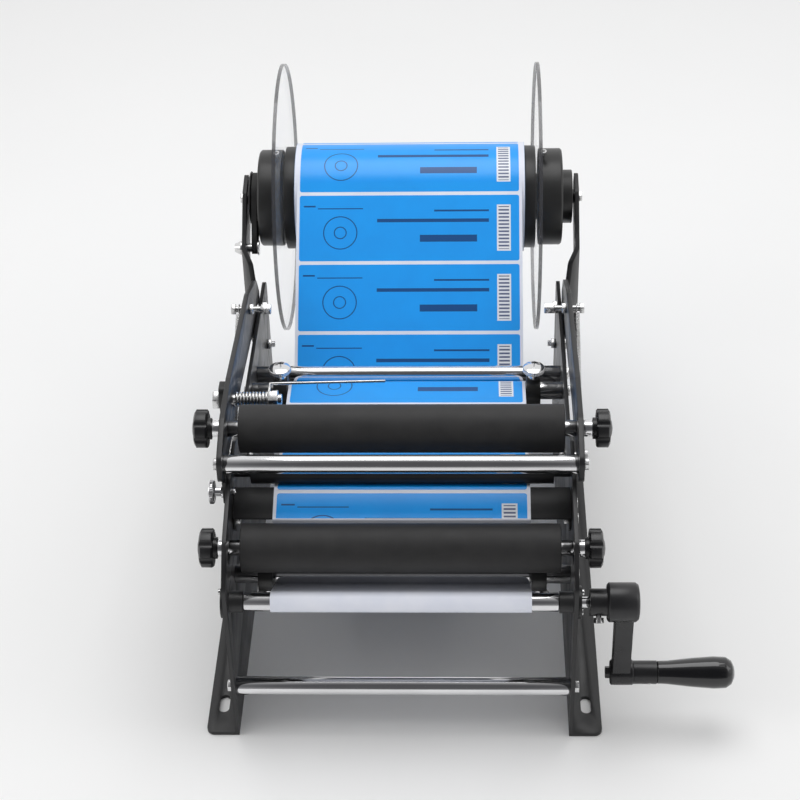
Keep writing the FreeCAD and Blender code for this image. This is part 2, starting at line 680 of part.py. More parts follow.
def hold_down_wire():
    y, z = spot("wire")
    radius = size("wire_bolt_radius")
    lug_out = arm_out + size("lug_wall")
    tip = arm_in - size("coil_length") - size("nut_wall") - 3
    coil_end = arm_in - size("coil_length")
    head = (-lug_out - size("wire_head"), -lug_out)
    nut = (-coil_end, -coil_end + size("nut_wall"))
    node(fuse("wire_bolt", [
        hex_prism("wire_bolt_head", *head, size("wire_flats"), y, z),
        bar("wire_bolt_shank", -lug_out - 2, -tip, radius, y, z),
        hex_prism("wire_nut", *nut, size("wire_flats"), y, z)]), "wire_bolt")
    lug = plate("wire_lug_blank", [(y - 7, z - 12), (y - 7, z + 14), (y + 7, z + 14),
                                   (y + 7, z - 12)], -lug_out, size("lug_wall"), length(4),
                lambda a, b: True)
    node(cut("wire_lug", lug, [bar("wire_lug_hole", -lug_out - 1, -arm_out + 1,
                                   radius + size("hole_gap"), y, z)]), "wire_lug")
    inner = (radius + size("clear_gap")).number
    start = Vector((-coil_end).number, y.number, z.number)
    coil = Part.makeCylinder(size("coil_radius").number, size("coil_length").number - 0.2,
                             start, Vector(-1, 0, 0))
    bore = Part.makeCylinder(inner, size("coil_length").number + 2, start + Vector(1, 0, 0),
                             Vector(-1, 0, 0))
    wire = size("wire_radius").number
    foot = start + Vector(-wire - 0.4, 4, size("coil_radius").number - wire)
    leg = Part.makeCylinder(wire, size("wire_reach").number, foot, Vector(1, 0.13, -0.07))
    raised = leg.translated(Vector(0, 5.5, 3))
    bend = Part.makeCylinder(wire, 6.4, foot, Vector(0, 5.5, 3))
    shape = coil.fuse([bend, raised]).cut(bore)
    feature("wire_spring", shape)


hold_down_wire()


# ---- rest stop of the left arm, held by a knurled screw ----

y, z = spot("stop")
stop_top = size("press_z") - 13.2 - size("clear_gap")
stop_blank = plate("arm_stop_blank", [(y - 6, stop_top), (y + 6, stop_top), (y + 6, z - 6),
                                      (y, z - 11), (y - 6, z - 6)],
                   -outer - size("stop_wall"), size("stop_wall"), 0, None)
node(cut("arm_stop", stop_blank, [drill("arm_stop_hole", -1, bolt_hole, y, z)]), "arm_stop")


# ---- knurled thumbscrews and the web collars that they lock ----

def thumbscrew(name, x, y, z, turn, bottom, seat):
    """A thumbscrew along its own X: shank from bottom to seat, neck, then a ribbed head."""
    neck_top = seat + size("thumb_neck")
    top = neck_top + size("thumb_head")
    head = size("thumb_radius")
    shank = size("thumb_shank")
    blank = turned(f"{name}_blank", [
        (bottom, ZERO), (bottom, shank), (seat, shank), (seat, shank + 1.8),
        (neck_top, shank + 1.2), (neck_top + 0.8, head), (top - 1, head), (top, head - 2.4),
        (top, ZERO)])
    place(blank, x, y, z, turn)
    return node(blank, name)


def web_collar(name, side, rod):
    """A flanged ring that slides along a web rod; its screw stands away from the web."""
    y, z = spot(rod)
    near = web_half + 1
    low, high = ordered(side, near, near + size("collar_width"))
    radius = size("collar_radius")
    ring = tube(f"{name}_ring", low, high, radius, size("rod_radius") + size("fit_gap"), y, z)
    middle = (near + size("collar_width") * 0.5) * side
    down = rod == "front_rod"
    hole = size("thumb_shank") + size("hole_gap")
    hole_z = (z - radius - 1, z) if down else (z, z + radius + 1)
    node(cut(name, ring, [upright(f"{name}_hole", middle, y, hole, *hole_z)]), name)
    turn = Rotation(Vector(0, 1, 0), 90 if down else -90)
    thumbscrew(f"{name}_screw", middle, y, z, turn, size("rod_radius") + size("clear_gap"),
               radius + 0.1)


for rod, place_word in (("middle_rod", "upper"), ("front_rod", "front")):
    for side, word in SIDES:
        web_collar(f"{place_word}_collar_{word}", side, rod)
stop_y, stop_z = spot("stop")
thumbscrew("arm_stop_screw", ZERO, stop_y, stop_z, Rotation(Vector(0, 0, 1), 180), half - 3,
           outer + size("stop_wall") + 0.1)


# ---- reel arms, joggled outward behind the side plates ----

def reel_arm(side, name):
    wall = size("reel_arm_wall")
    step = reel_arm_in
    y, z = spot("reel")
    foot_y, foot_z = spot("pivot")
    hook_y, hook_z = spot("belt")
    start, bend, finish = foot_y - 50, size("plate_length"), y + 28
    body = fresh("PartDesign::Body", f"{name}_plan")
    plan = [(outer, start), (outer + wall, start), (outer + wall, bend - 21),
            (step + wall, bend + 1), (step + wall, finish), (step, finish),
            (step, bend + 2.5), (outer, bend - 19.5)]
    sketch = outline(body, "XY_Plane", [(x * side, y) for x, y in plan])
    pad(body, sketch, size("reel_z") + 40)
    place(body, ZERO, ZERO, ZERO)
    points = [(foot_y - 44, foot_z - 62), (foot_y - 44, foot_z - 28),
              (foot_y + 24, foot_z - 22), (hook_y - 22, hook_z - 2),
              (hook_y - 2, hook_z + 14), (y - 14, z + 14), (y + 10, z + 19), (y + 18, z + 4),
              (y + 8, z - 16), (hook_y + 18, hook_z - 14), (hook_y, hook_z - 60),
              (foot_y + 36, foot_z - 62)]
    low, high = ordered(side, outer - 2, step + wall + 2)
    side_view = plate(f"{name}_side", points, low, high - low, length(6), lambda a, b: True)
    blank = fresh("Part::MultiCommon", f"{name}_blank")
    blank.Shapes = [body, side_view]
    tools = [drill(f"{name}_axle_hole", side, bolt_hole, y, z),
             drill(f"{name}_belt_hole", side, bolt_hole, *spot("belt"))]
    tools += [drill(f"{name}_hole_{k}", side, bolt_hole, a, b)
              for k, (a, b) in enumerate(arm_screws())]
    node(cut(name, blank, tools), name)


for side, word in SIDES:
    reel_arm(side, f"reel_arm_{word}")
    for k, (y, z) in enumerate(arm_screws()):
        face = outer + size("reel_arm_wall")
        bolt = hex_bolt(f"reel_arm_bolt_{word}_{k}", side, face, face - half + 7, y, z)
        nut_x = ordered(side, half - 4, half)
        bolts.append(fuse(f"reel_arm_fixing_{word}_{k}", [
            bolt, hex_prism(f"reel_arm_nut_{word}_{k}", *nut_x, size("bolt_flats"), y, z)]))
node(group("frame_bolts", bolts), "frame_bolts")


# ---- label reel: hubs, clear discs, plugs in the core, and the roll of labels ----

reel_at = spot("reel")
bore = size("axle_radius") + size("fit_gap")
spigot = size("groove_radius")
for side, word in SIDES:
    rim = size("pulley_radius")
    profile = [(disc_in, bore), (disc_in, spigot), (disc_out, spigot),
               (disc_out, size("hub_radius")),
               (hub_out - 1.5, size("hub_radius")), (hub_out, size("hub_radius") - 1.5),
               (hub_out, rim)]
    if side < 0:
        profile += [(hub_out + 1.4, rim), (hub_out + 1.8, spigot), (pulley_out - 1.8, spigot),
                    (pulley_out - 1.4, rim)]
    profile += [(pulley_out, rim), (pulley_out, bore)]
    node(place(turned(f"reel_hub_{word}", [(x * side, r) for x, r in profile]), ZERO, *reel_at),
         f"reel_hub_{word}")
    node(tube(f"reel_disc_{word}", *ordered(side, disc_in, disc_out), size("reel_radius"),
              spigot + size("fit_gap"), *reel_at), f"reel_disc_{word}")
    roll_end = roll_half
    inside = roll_end - size("plug_depth")
    plug = [(inside, bore), (inside, size("core_radius") - 2), (inside + 2, size("core_radius")
            - size("hole_gap")), (roll_end, size("core_radius") - size("hole_gap")),
            (roll_end, size("plug_radius")), (disc_in, size("plug_radius")),
            (disc_in, bore)]
    node(place(turned(f"reel_plug_{word}", [(x * side, r) for x, r in plug]), ZERO, *reel_at),
         f"reel_plug_{word}")
node(tube("label_roll", -roll_half, roll_half, size("roll_radius"),
          size("core_radius"), *reel_at), "label_roll")


# ---- sheet bands that wrap round circles: the label web and the brake belt ----

def tangent(a, b):
    """The line that leaves circle a and meets circle b, each (y, z, radius, side)."""
    (ay, az, ar, asign), (by, bz, br, bsign) = a, b
    run = math.hypot(by - ay, bz - az)
    heading = math.atan2(bz - az, by - ay) - math.asin((bsign * br - asign * ar) / run)
    left = (-math.sin(heading), math.cos(heading))
    return tuple((y - s * r * left[0], z - s * r * left[1]) for y, z, r, s in (a, b))


def edge_path(circles, x, last=None, closed=False):
    """Lines and arcs along the circles in turn; the side is +1 with the circle at the left.
    last is the turn in radians that the path goes on round the last circle."""
    count = len(circles)
    pairs = count if closed else count - 1
    lines = [tangent(circles[i], circles[(i + 1) % count]) for i in range(pairs)]
    edges = []

    def at(p):
        return Vector(x, p[0], p[1])

    def arc(circle, p, q):
        y, z, radius, sign = circle
        start = math.atan2(p[1] - z, p[0] - y)
        sweep = (math.atan2(q[1] - z, q[0] - y) - start) * sign % (2 * math.pi)
        if sweep * radius < 0.02 or sweep > 6.2:
            return None
        half_way = start + sign * sweep / 2
        middle = (y + radius * math.cos(half_way), z + radius * math.sin(half_way))
        return Part.Arc(at(p), at(middle), at(q)).toShape()

    for i, (p, q) in enumerate(lines):
        edges.append(Part.LineSegment(at(p), at(q)).toShape())
        if i + 1 < pairs or closed:
            bend = arc(circles[(i + 1) % count], q, lines[(i + 1) % pairs][0])
            if bend:
                edges.append(bend)
    end = lines[-1][1]
    if last is not None:
        y, z, radius, sign = circles[-1]
        angle = math.atan2(end[1] - z, end[0] - y) + sign * last
        tail = (y + radius * math.cos(angle), z + radius * math.sin(angle))
        edges.append(arc(circles[-1], end, tail))
        end = tail
    return edges, at(lines[0][0]), at(end)


def label_web():
    """The liner's whole way from the roll to the drive roller, as one thin sheet."""
    gap, wall = size("clear_gap").number, size("web_wall").number
    corner = size("peel_wall").number * 0.5

    def circle(alias, radius, sign):
        y, z = (c.number for c in spot(alias))
        return [y, z, radius, sign]

    way = [circle("reel", size("roll_radius").number, 1),
           circle("rear_rod", size("rod_radius").number, -1),
           circle("middle_rod", size("rod_radius").number, 1),
           circle("idler", size("idler_radius").number, -1),
           circle("peel_top", corner, 1), circle("peel_edge", corner, 1),
           circle("front_rod", size("rod_radius").number, -1),
           circle("drive", size("drive_radius").number, 1)]
    for k in (4, 5):
        way[k][1] -= corner * (0.4 if k == 4 else 0)
    wrap = 3.4
    x = -web_half.number
    near = [(y, z, r + gap + (wall if s < 0 else 0), s) for y, z, r, s in way]
    far = [(y, z, r + gap + (wall if s > 0 else 0), s) for y, z, r, s in way]
    first, start_a, end_a = edge_path(near, x, last=wrap)
    second, start_b, end_b = edge_path(far, x, last=wrap)
    rim = first + second + [Part.LineSegment(start_a, start_b).toShape(),
                            Part.LineSegment(end_a, end_b).toShape()]
    wire = Part.Wire(Part.__sortEdges__(rim))
    sheet = Part.Face(wire).extrude(Vector(2 * web_half.number, 0, 0))
    return feature("label_web", sheet)


def brake_belt():
    gap, wall = size("clear_gap").number, size("belt_wall").number
    width = size("belt_width").number
    middle = (hub_out + size("pulley_width") * 0.5).number
    ends = [spot("reel"), spot("belt")]
    radii = [spigot.number + gap, size("bolt_radius").number + 1.2]
    faces = []
    for extra in (wall, 0):
        circles = [(y.number, z.number, r + extra, 1) for (y, z), r in zip(ends, radii)]
        edges, _, _ = edge_path(circles, -middle - width / 2, closed=True)
        faces.append(Part.Face(Part.Wire(Part.__sortEdges__(edges))))
    band = faces[0].cut(faces[1]).extrude(Vector(width, 0, 0))
    return feature("brake_belt", band)


label_web()
brake_belt()

y, z = spot("belt")
post_in = hub_out + 0.6
node(fuse("belt_anchor", [
    bar("belt_post", -reel_face - 6, -post_in, size("bolt_radius"), y, z),
    tube("belt_bush", -reel_arm_in, -post_in, size("bolt_radius") + 1.2,
         size("bolt_radius") * 0.8, y, z),
    tube("belt_washer", -post_in - 1, -post_in, 6.5, size("bolt_radius") * 0.8, y, z),
    place(turned("belt_nut", [(-reel_face - 7, size("bolt_radius") * 0.8),
                              (-reel_face - 7, length(3.6)), (-reel_face - 2, length(6)),
                              (-reel_face, length(6)),
                              (-reel_face, size("bolt_radius") * 0.8)]), ZERO, y, z)]),
    "belt_anchor")


# ---- check every object, then write one file for each node ----

doc.recompute()
for item in doc.Objects:
    if "Invalid" in item.State or "Error" in item.State:
        raise RuntimeError(f"{item.Name} did not rebuild: {item.State}")
os.makedirs("parts", exist_ok=True)
for name, item in nodes:
    shape = item.Shape
    if shape.isNull() or not shape.isValid() or not shape.Solids:
        raise RuntimeError(f"{name} has no valid solid")
for name, item in nodes:
    item.Shape.exportStep(f"parts/{name}.step")
print(len(nodes), "nodes written")
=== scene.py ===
import json
import math

import bmesh
import bpy
from mathutils import Matrix, Vector


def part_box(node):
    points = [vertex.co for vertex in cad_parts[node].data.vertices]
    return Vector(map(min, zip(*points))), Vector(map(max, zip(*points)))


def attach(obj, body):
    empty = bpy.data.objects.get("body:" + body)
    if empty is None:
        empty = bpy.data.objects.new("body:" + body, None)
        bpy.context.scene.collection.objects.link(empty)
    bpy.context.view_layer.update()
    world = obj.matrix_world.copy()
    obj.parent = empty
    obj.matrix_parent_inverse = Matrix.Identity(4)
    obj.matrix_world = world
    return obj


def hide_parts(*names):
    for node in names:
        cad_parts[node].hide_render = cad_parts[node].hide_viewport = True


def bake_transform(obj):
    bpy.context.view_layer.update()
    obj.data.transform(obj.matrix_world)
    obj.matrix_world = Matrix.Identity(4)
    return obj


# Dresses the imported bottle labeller: softened edges, sprung wires, the printed label web and
# every finish.  Lengths are metres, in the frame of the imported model.

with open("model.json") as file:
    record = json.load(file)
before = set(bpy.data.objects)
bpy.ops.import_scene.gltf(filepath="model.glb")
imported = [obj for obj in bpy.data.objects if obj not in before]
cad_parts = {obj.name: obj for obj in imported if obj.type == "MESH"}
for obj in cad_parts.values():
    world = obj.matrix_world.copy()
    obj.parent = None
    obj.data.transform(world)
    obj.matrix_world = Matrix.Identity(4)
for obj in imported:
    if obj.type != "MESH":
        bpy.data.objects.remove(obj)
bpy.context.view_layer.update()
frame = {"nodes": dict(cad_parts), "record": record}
MM = 0.001
UP, X_AXIS = Vector((0, 0, 1)), Vector((1, 0, 0))


# ---- where things are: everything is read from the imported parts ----

def centre_of(node):
    low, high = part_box(node)
    return (low + high) / 2


def round_part(node):
    """Middle and radius of a part that is round about X."""
    low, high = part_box(node)
    return (low + high) / 2, (high.z - low.z) / 2


def body_with(node):
    for body, members in frame["record"]["behaviour"]["bodies"].items():
        if node in members:
            return body


MIDDLE_X = centre_of("label_roll").x
SIDES = ((-1, "left"), (1, "right"))


# ---- wiring helpers for shader trees ----

def wire(tree, value, socket):
    """Link a socket, or write a plain value."""
    if isinstance(value, bpy.types.NodeSocket):
        tree.links.new(value, socket)
    elif value is not None:
        socket.default_value = value


def calc(tree, operation, a, b=None):
    node = tree.nodes.new("ShaderNodeMath")
    node.operation = operation
    for value, socket in zip((a, b), node.inputs):
        wire(tree, value, socket)
    return node.outputs[0]


def spread(tree, value, low, high, to_low=0.0, to_high=1.0):
    node = tree.nodes.new("ShaderNodeMapRange")
    for label, number in (("Value", value), ("From Min", low), ("From Max", high),
                          ("To Min", to_low), ("To Max", to_high)):
        wire(tree, number, node.inputs[label])
    return node.outputs[0]


def blend_colour(tree, factor, a, b):
    node = tree.nodes.new("ShaderNodeMix")
    node.data_type = "RGBA"
    for value, socket in ((factor, node.inputs[0]), (a, node.inputs[6]), (b, node.inputs[7])):
        wire(tree, (*value, 1) if isinstance(value, tuple) else value, socket)
    return node.outputs[2]


def noise(tree, vector, scale, detail=3.0, roughness=0.5, line=None):
    node = tree.nodes.new("ShaderNodeTexNoise")
    if line is not None:
        node.noise_dimensions = "1D"
        wire(tree, line, node.inputs["W"])
    else:
        wire(tree, vector, node.inputs["Vector"])
    wire(tree, scale, node.inputs["Scale"])
    node.inputs["Detail"].default_value = detail
    node.inputs["Roughness"].default_value = roughness
    return node.outputs["Fac"]


def split(tree, vector):
    node = tree.nodes.new("ShaderNodeSeparateXYZ")
    tree.links.new(vector, node.inputs[0])
    return node.outputs


def shader_group(name, inputs, outputs):
    tree = bpy.data.node_groups.new(name, "ShaderNodeTree")
    for label, kind, value in inputs:
        socket = tree.interface.new_socket(label, in_out="INPUT", socket_type=kind)
        if value is not None:
            socket.default_value = value
    for label in outputs:
        tree.interface.new_socket(label, in_out="OUTPUT", socket_type="NodeSocketFloat")
    start, end = tree.nodes.new("NodeGroupInput"), tree.nodes.new("NodeGroupOutput")
    return tree, start.outputs, end.inputs


# ---- effects that several finishes share ----

def build_coat_grain():
    """Fine bumps and a slow mottle, as in sprayed, moulded or rolled surfaces."""
    tree, given, out = shader_group("coat_grain", [
        ("Vector", "NodeSocketVector", None), ("Scale", "NodeSocketFloat", 900.0)],
        ["Height", "Mottle"])
    tree.links.new(noise(tree, given["Vector"], given["Scale"], 4, 0.6), out["Height"])
    slow = noise(tree, given["Vector"], calc(tree, "MULTIPLY", given["Scale"], 0.03), 4, 0.55)
    tree.links.new(spread(tree, slow, 0.34, 0.66), out["Mottle"])
    return tree


def build_turning_marks():
    """Fine rings round X, left by turning, grinding or polishing."""
    tree, given, out = shader_group("turning_marks", [
        ("Vector", "NodeSocketVector", None), ("Rings", "NodeSocketFloat", 2500.0)], ["Marks"])
    x = split(tree, given["Vector"])[0]
    tree.links.new(noise(tree, None, given["Rings"], 5, 0.7, line=x), out["Marks"])
    return tree


def build_handling():
    """Faint smears and dust left by hands and use."""
    tree, given, out = shader_group("handling", [("Vector", "NodeSocketVector", None)],
                                    ["Smears", "Dust"])
    smear = noise(tree, given["Vector"], 38.0, 6, 0.62)
    tree.links.new(spread(tree, smear, 0.42, 0.70), out["Smears"])
    speck = noise(tree, given["Vector"], 1900.0, 2, 0.5)
    tree.links.new(spread(tree, speck, 0.68, 0.78), out["Dust"])
    return tree


coat_grain, turning_marks, handling = (build_coat_grain(), build_turning_marks(),
                                       build_handling())


def use(tree, group, **inputs):
    node = tree.nodes.new("ShaderNodeGroup")
    node.node_tree = group
    for label, value in inputs.items():
        wire(tree, value, node.inputs[label])
    return node.outputs


def new_material(name):
    material = bpy.data.materials.new(name)
    material.use_nodes = True
    tree = material.node_tree
    shader = tree.nodes["Principled BSDF"]
    place = tree.nodes.new("ShaderNodeTexCoord").outputs["Object"]
    return material, tree, shader, place


def raise_bumps(tree, shader, height, depth, strength=1.0):
    node = tree.nodes.new("ShaderNodeBump")
    node.inputs["Strength"].default_value = strength
    node.inputs["Distance"].default_value = depth
    tree.links.new(height, node.inputs["Height"])
    tree.links.new(node.outputs[0], shader.inputs["Normal"])


def finish(name, colour, worn, smooth, rough, metallic=0.0, grain=900.0, depth=0.02 * MM,
           rings=None, ring_share=0.5, specular=0.5, coat=0.0, dust=0.0, sheen=0.0):
    """One finish: a colour that wanders to a worn one, uneven gloss, and a fine relief."""
    material, tree, shader, place = new_material(name)
    relief = use(tree, coat_grain, Vector=place, Scale=grain)
    marks = use(tree, handling, Vector=place)
    uneven = relief["Mottle"]
    height = relief["Height"]
    if rings:
        turned = use(tree, turning_marks, Vector=place, Rings=rings)["Marks"]
        height = calc(tree, "ADD", calc(tree, "MULTIPLY", height, 1 - ring_share),
                      calc(tree, "MULTIPLY", turned, ring_share))
        uneven = calc(tree, "ADD", calc(tree, "MULTIPLY", uneven, 1 - ring_share),
                      calc(tree, "MULTIPLY", turned, ring_share))
    tint = calc(tree, "MAXIMUM", calc(tree, "MULTIPLY", uneven, 0.7),
                calc(tree, "MULTIPLY", marks["Dust"], dust))
    tree.links.new(blend_colour(tree, tint, colour, worn), shader.inputs["Base Color"])
    gloss = calc(tree, "ADD", calc(tree, "MULTIPLY", uneven, 0.6),
                 calc(tree, "MULTIPLY", marks["Smears"], 0.4))
    tree.links.new(spread(tree, gloss, 0.0, 1.0, smooth, rough), shader.inputs["Roughness"])
    shader.inputs["Metallic"].default_value = metallic
    shader.inputs["Specular IOR Level"].default_value = specular
    shader.inputs["Coat Weight"].default_value = coat
    shader.inputs["Coat Roughness"].default_value = 0.12
    shader.inputs["Sheen Weight"].default_value = sheen
    raise_bumps(tree, shader, height, depth)
    return material


powder_coat = finish("satin_powder_coat", (0.012, 0.012, 0.013), (0.02, 0.02, 0.021), 0.32, 0.46,
                     grain=1500.0, depth=0.03 * MM, specular=0.42, dust=0.6)
moulded_black = finish("moulded_black", (0.010, 0.010, 0.011), (0.022, 0.022, 0.024), 0.24, 0.40,
                       grain=1100.0, depth=0.015 * MM, specular=0.45, dust=0.3)
phenolic = finish("polished_phenolic", (0.004, 0.004, 0.005), (0.008, 0.008, 0.009), 0.08, 0.16,
                  grain=500.0, depth=0.006 * MM, specular=0.5, coat=0.4)
roller_rubber = finish("ground_rubber", (0.014, 0.014, 0.015), (0.032, 0.031, 0.031), 0.52, 0.72,
                       grain=2600.0, depth=0.04 * MM, rings=900.0, ring_share=0.55,
                       specular=0.35, dust=0.5, sheen=0.03)
belt_rubber = finish("belt_rubber", (0.012, 0.012, 0.012), (0.03, 0.03, 0.03), 0.5, 0.7,
                     grain=1800.0, depth=0.03 * MM, specular=0.35, dust=0.6)
turned_nylon = finish("turned_nylon", (0.010, 0.010, 0.010), (0.024, 0.024, 0.024), 0.30, 0.46,
                      grain=1200.0, depth=0.02 * MM, rings=1800.0, ring_share=0.6, specular=0.45,
                      dust=0.3)
chrome = finish("polished_chrome", (0.80, 0.80, 0.81), (0.62, 0.62, 0.63), 0.05, 0.17,
                metallic=1.0, grain=700.0, depth=0.004 * MM, rings=3200.0, ring_share=0.35)
zinc = finish("bright_zinc", (0.74, 0.74, 0.74), (0.50, 0.50, 0.50), 0.16, 0.34, metallic=1.0,
              grain=1600.0, depth=0.012 * MM)
spring_wire = finish("drawn_wire", (0.70, 0.70, 0.70), (0.42, 0.42, 0.42), 0.18, 0.36,
                     metallic=1.0, grain=2400.0, depth=0.01 * MM)


def clear_sheet(name, radius, node):
    """Clear sheet with fine scuffs, a thin white veil of painted reflection, and a cut edge
    painted dark and nearly opaque as painted shade.
    """
    material, tree, shader, place = new_material(name)
    middle = centre_of(node)
    x, y, z = split(tree, place)
    dy, dz = calc(tree, "SUBTRACT", y, middle.y), calc(tree, "SUBTRACT", z, middle.z)
    reach = calc(tree, "SQRT", calc(tree, "ADD", calc(tree, "MULTIPLY", dy, dy),
                                    calc(tree, "MULTIPLY", dz, dz)))
    # painted shade: a ring at the cut edge is made dark and nearly opaque, standing in for how the
    # edge bends light
    painted_edge_shade = spread(tree, reach, radius - 0.9 * MM, radius - 0.3 * MM)
    scuffs = use(tree, handling, Vector=place)
    # painted reflection: a thin white veil over the whole sheet, varied by real scuffs
    painted_haze_and_scuffs = calc(tree, "ADD", 0.13, calc(tree, "MULTIPLY", scuffs["Smears"], 0.05))
    tree.links.new(calc(tree, "MAXIMUM", painted_haze_and_scuffs, calc(tree, "MULTIPLY", painted_edge_shade, 0.82)),
                   shader.inputs["Alpha"])
    # the sheet's colour is a white painted reflection inside and a dark painted shade at the edge
    tree.links.new(blend_colour(tree, painted_edge_shade, (0.90, 0.92, 0.95), (0.05, 0.05, 0.055)),
                   shader.inputs["Base Color"])
    tree.links.new(spread(tree, scuffs["Smears"], 0.0, 1.0, 0.03, 0.12),
                   shader.inputs["Roughness"])
    shader.inputs["IOR"].default_value = 1.49
    return material


# ---- the labels: a liner that carries plain blue labels at an even pitch ----

PITCH, LABEL_LONG, LABEL_HALF = 60.0 * MM, 57.0 * MM, 92.5 * MM


def build_label_print():
    """Masks of one repeat of the web: label, dark print, pale panel and the bars on it."""
    tree, given, out = shader_group("label_print", [
        ("Run", "NodeSocketFloat", 0.0), ("Across", "NodeSocketFloat", 0.0)],
        ["Label", "Print", "Panel"])
    along = calc(tree, "FLOORED_MODULO", given["Run"], PITCH)
    across = given["Across"]

    def patch(x, y, half_x, half_y, corner=0.0):
        """1 inside a rectangle with rounded corners, given from the label's middle."""
        dx = calc(tree, "SUBTRACT", calc(tree, "ABSOLUTE", calc(tree, "SUBTRACT", across, x)),
                  half_x - corner)
        dy = calc(tree, "SUBTRACT", calc(tree, "ABSOLUTE", calc(tree, "SUBTRACT", along,
                                                                LABEL_LONG / 2 + y)),
                  half_y - corner)
        if not corner:
            return calc(tree, "LESS_THAN", calc(tree, "MAXIMUM", dx, dy), 0.0)
        px, py = calc(tree, "MAXIMUM", dx, 0.0), calc(tree, "MAXIMUM", dy, 0.0)
        far = calc(tree, "SQRT", calc(tree, "ADD", calc(tree, "MULTIPLY", px, px),
                                      calc(tree, "MULTIPLY", py, py)))
        return calc(tree, "LESS_THAN", far, corner)

    def ring(x, y, radius, line):
        dx = calc(tree, "SUBTRACT", across, x)
        dy = calc(tree, "SUBTRACT", along, LABEL_LONG / 2 + y)
        far = calc(tree, "SQRT", calc(tree, "ADD", calc(tree, "MULTIPLY", dx, dx),
                                      calc(tree, "MULTIPLY", dy, dy)))
        return calc(tree, "LESS_THAN", calc(tree, "ABSOLUTE",
                                            calc(tree, "SUBTRACT", far, radius)), line)

    tree.links.new(patch(0.0, 0.0, LABEL_HALF, LABEL_LONG / 2, 2 * MM), out["Label"])
    dark = [patch(20 * MM, -6.5 * MM, 47 * MM, 1.5 * MM), patch(33 * MM, 9 * MM, 24 * MM, 3 * MM),
            patch(44 * MM, -15 * MM, 23 * MM, 0.8 * MM),
            ring(-58 * MM, 4 * MM, 14 * MM, 0.45 * MM), ring(-58 * MM, 4 * MM, 5 * MM, 0.45 * MM),
            patch(-58 * MM, -17 * MM, 19 * MM, 0.45 * MM),
            patch(-84 * MM, -19 * MM, 5 * MM, 0.7 * MM)]
    panel = patch(79.5 * MM, 0.0, 5.8 * MM, 20 * MM)
    inner = patch(79.5 * MM, 0.0, 4.4 * MM, 18.6 * MM)
    bars = calc(tree, "LESS_THAN", calc(tree, "FLOORED_MODULO", along, 3.1 * MM), 1.5 * MM)
    dark.append(calc(tree, "MULTIPLY", inner, bars))
    ink = dark[0]
    for mark in dark[1:]:
        ink = calc(tree, "MAXIMUM", ink, mark)
    tree.links.new(ink, out["Print"])
    tree.links.new(panel, out["Panel"])
    return tree


label_print = build_label_print()
LINER, LABEL_BLUE, PRINT_INK = (0.80, 0.82, 0.90), (0.003, 0.34, 0.92), (0.004, 0.03, 0.14)
PANEL_WHITE = (0.78, 0.80, 0.84)


def paint_labels(tree, shader, place, run, across, shown):
    """Liner, blue label, panel and dark print, in the order that they lie on each other."""
    print_masks = use(tree, label_print, Run=run, Across=across)
    label = calc(tree, "MULTIPLY", print_masks["Label"], shown)
    panel = calc(tree, "MULTIPLY", print_masks["Panel"], label)
    ink = calc(tree, "MULTIPLY", print_masks["Print"], label)
    relief = use(tree, coat_grain, Vector=place, Scale=1300.0)
    paper = blend_colour(tree, relief["Mottle"], LINER, (0.74, 0.77, 0.87))
    blue = blend_colour(tree, relief["Mottle"], LABEL_BLUE, (0.004, 0.32, 0.88))
    colour = blend_colour(tree, label, paper, blue)
    colour = blend_colour(tree, panel, colour, PANEL_WHITE)
    colour = blend_colour(tree, calc(tree, "MULTIPLY", ink, 0.86), colour, PRINT_INK)
    tree.links.new(spread(tree, label, 0.0, 1.0, 0.38, 0.30), shader.inputs["Roughness"])
    height = calc(tree, "ADD", calc(tree, "MULTIPLY", relief["Height"], 0.06), label)
    raise_bumps(tree, shader, height, 0.08 * MM, 0.5)
    return colour


# ---- the way of the web: lines and arcs round the roll, the rods and the peel plate ----

WEB_LIFT = 0.5 * MM                       # from what the web wraps to the middle of the web
NOSE = 0.8 * MM                           # radius of the peel plate's rounded top and edge
PEEL_DEEP, PEEL_DROP = 24 * MM, 10 * MM   # from the peel plate's edge to its top
DRIVE_RADIUS, DRIVE_WRAP = 7 * MM, 3.4    # the drive roller, and how far round it in radians
TO_PEEL_EDGE = 4                          # the straight that ends at the peel edge
ARC_STEP, LINE_STEP = 0.12, 8 * MM
FULL_TURN = 6.2                           # a sweep past this is a touch and no wrap


def web_circles():
    """(y, z, radius, side) of all that the web wraps; the side is +1 with it at the left."""
    def entry(node, side, radius=None):
        middle, own = round_part(node)
        return (middle.y, middle.z, (radius or own) + WEB_LIFT, side)
    low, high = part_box("peel_plate")
    top = (low.y + PEEL_DEEP, high.z - NOSE * 1.4, NOSE + WEB_LIFT, 1)
    edge = (low.y, high.z - PEEL_DROP - NOSE, NOSE + WEB_LIFT, 1)
    return [entry("label_roll", 1), entry("web_rod_rear", -1), entry("web_rod_middle", 1),
            entry("idler_roller", -1), top, edge, entry("web_rod_front", -1),
            entry("drive_roller", 1, DRIVE_RADIUS)]


def tangent(a, b):
    (ay, az, ar, asign), (by, bz, br, bsign) = a, b
    span = math.hypot(by - ay, bz - az)
    heading = math.atan2(bz - az, by - ay) - math.asin((bsign * br - asign * ar) / span)
    left = (-math.sin(heading), math.cos(heading))
    return tuple((y - s * r * left[0], z - s * r * left[1]) for y, z, r, s in (a, b))


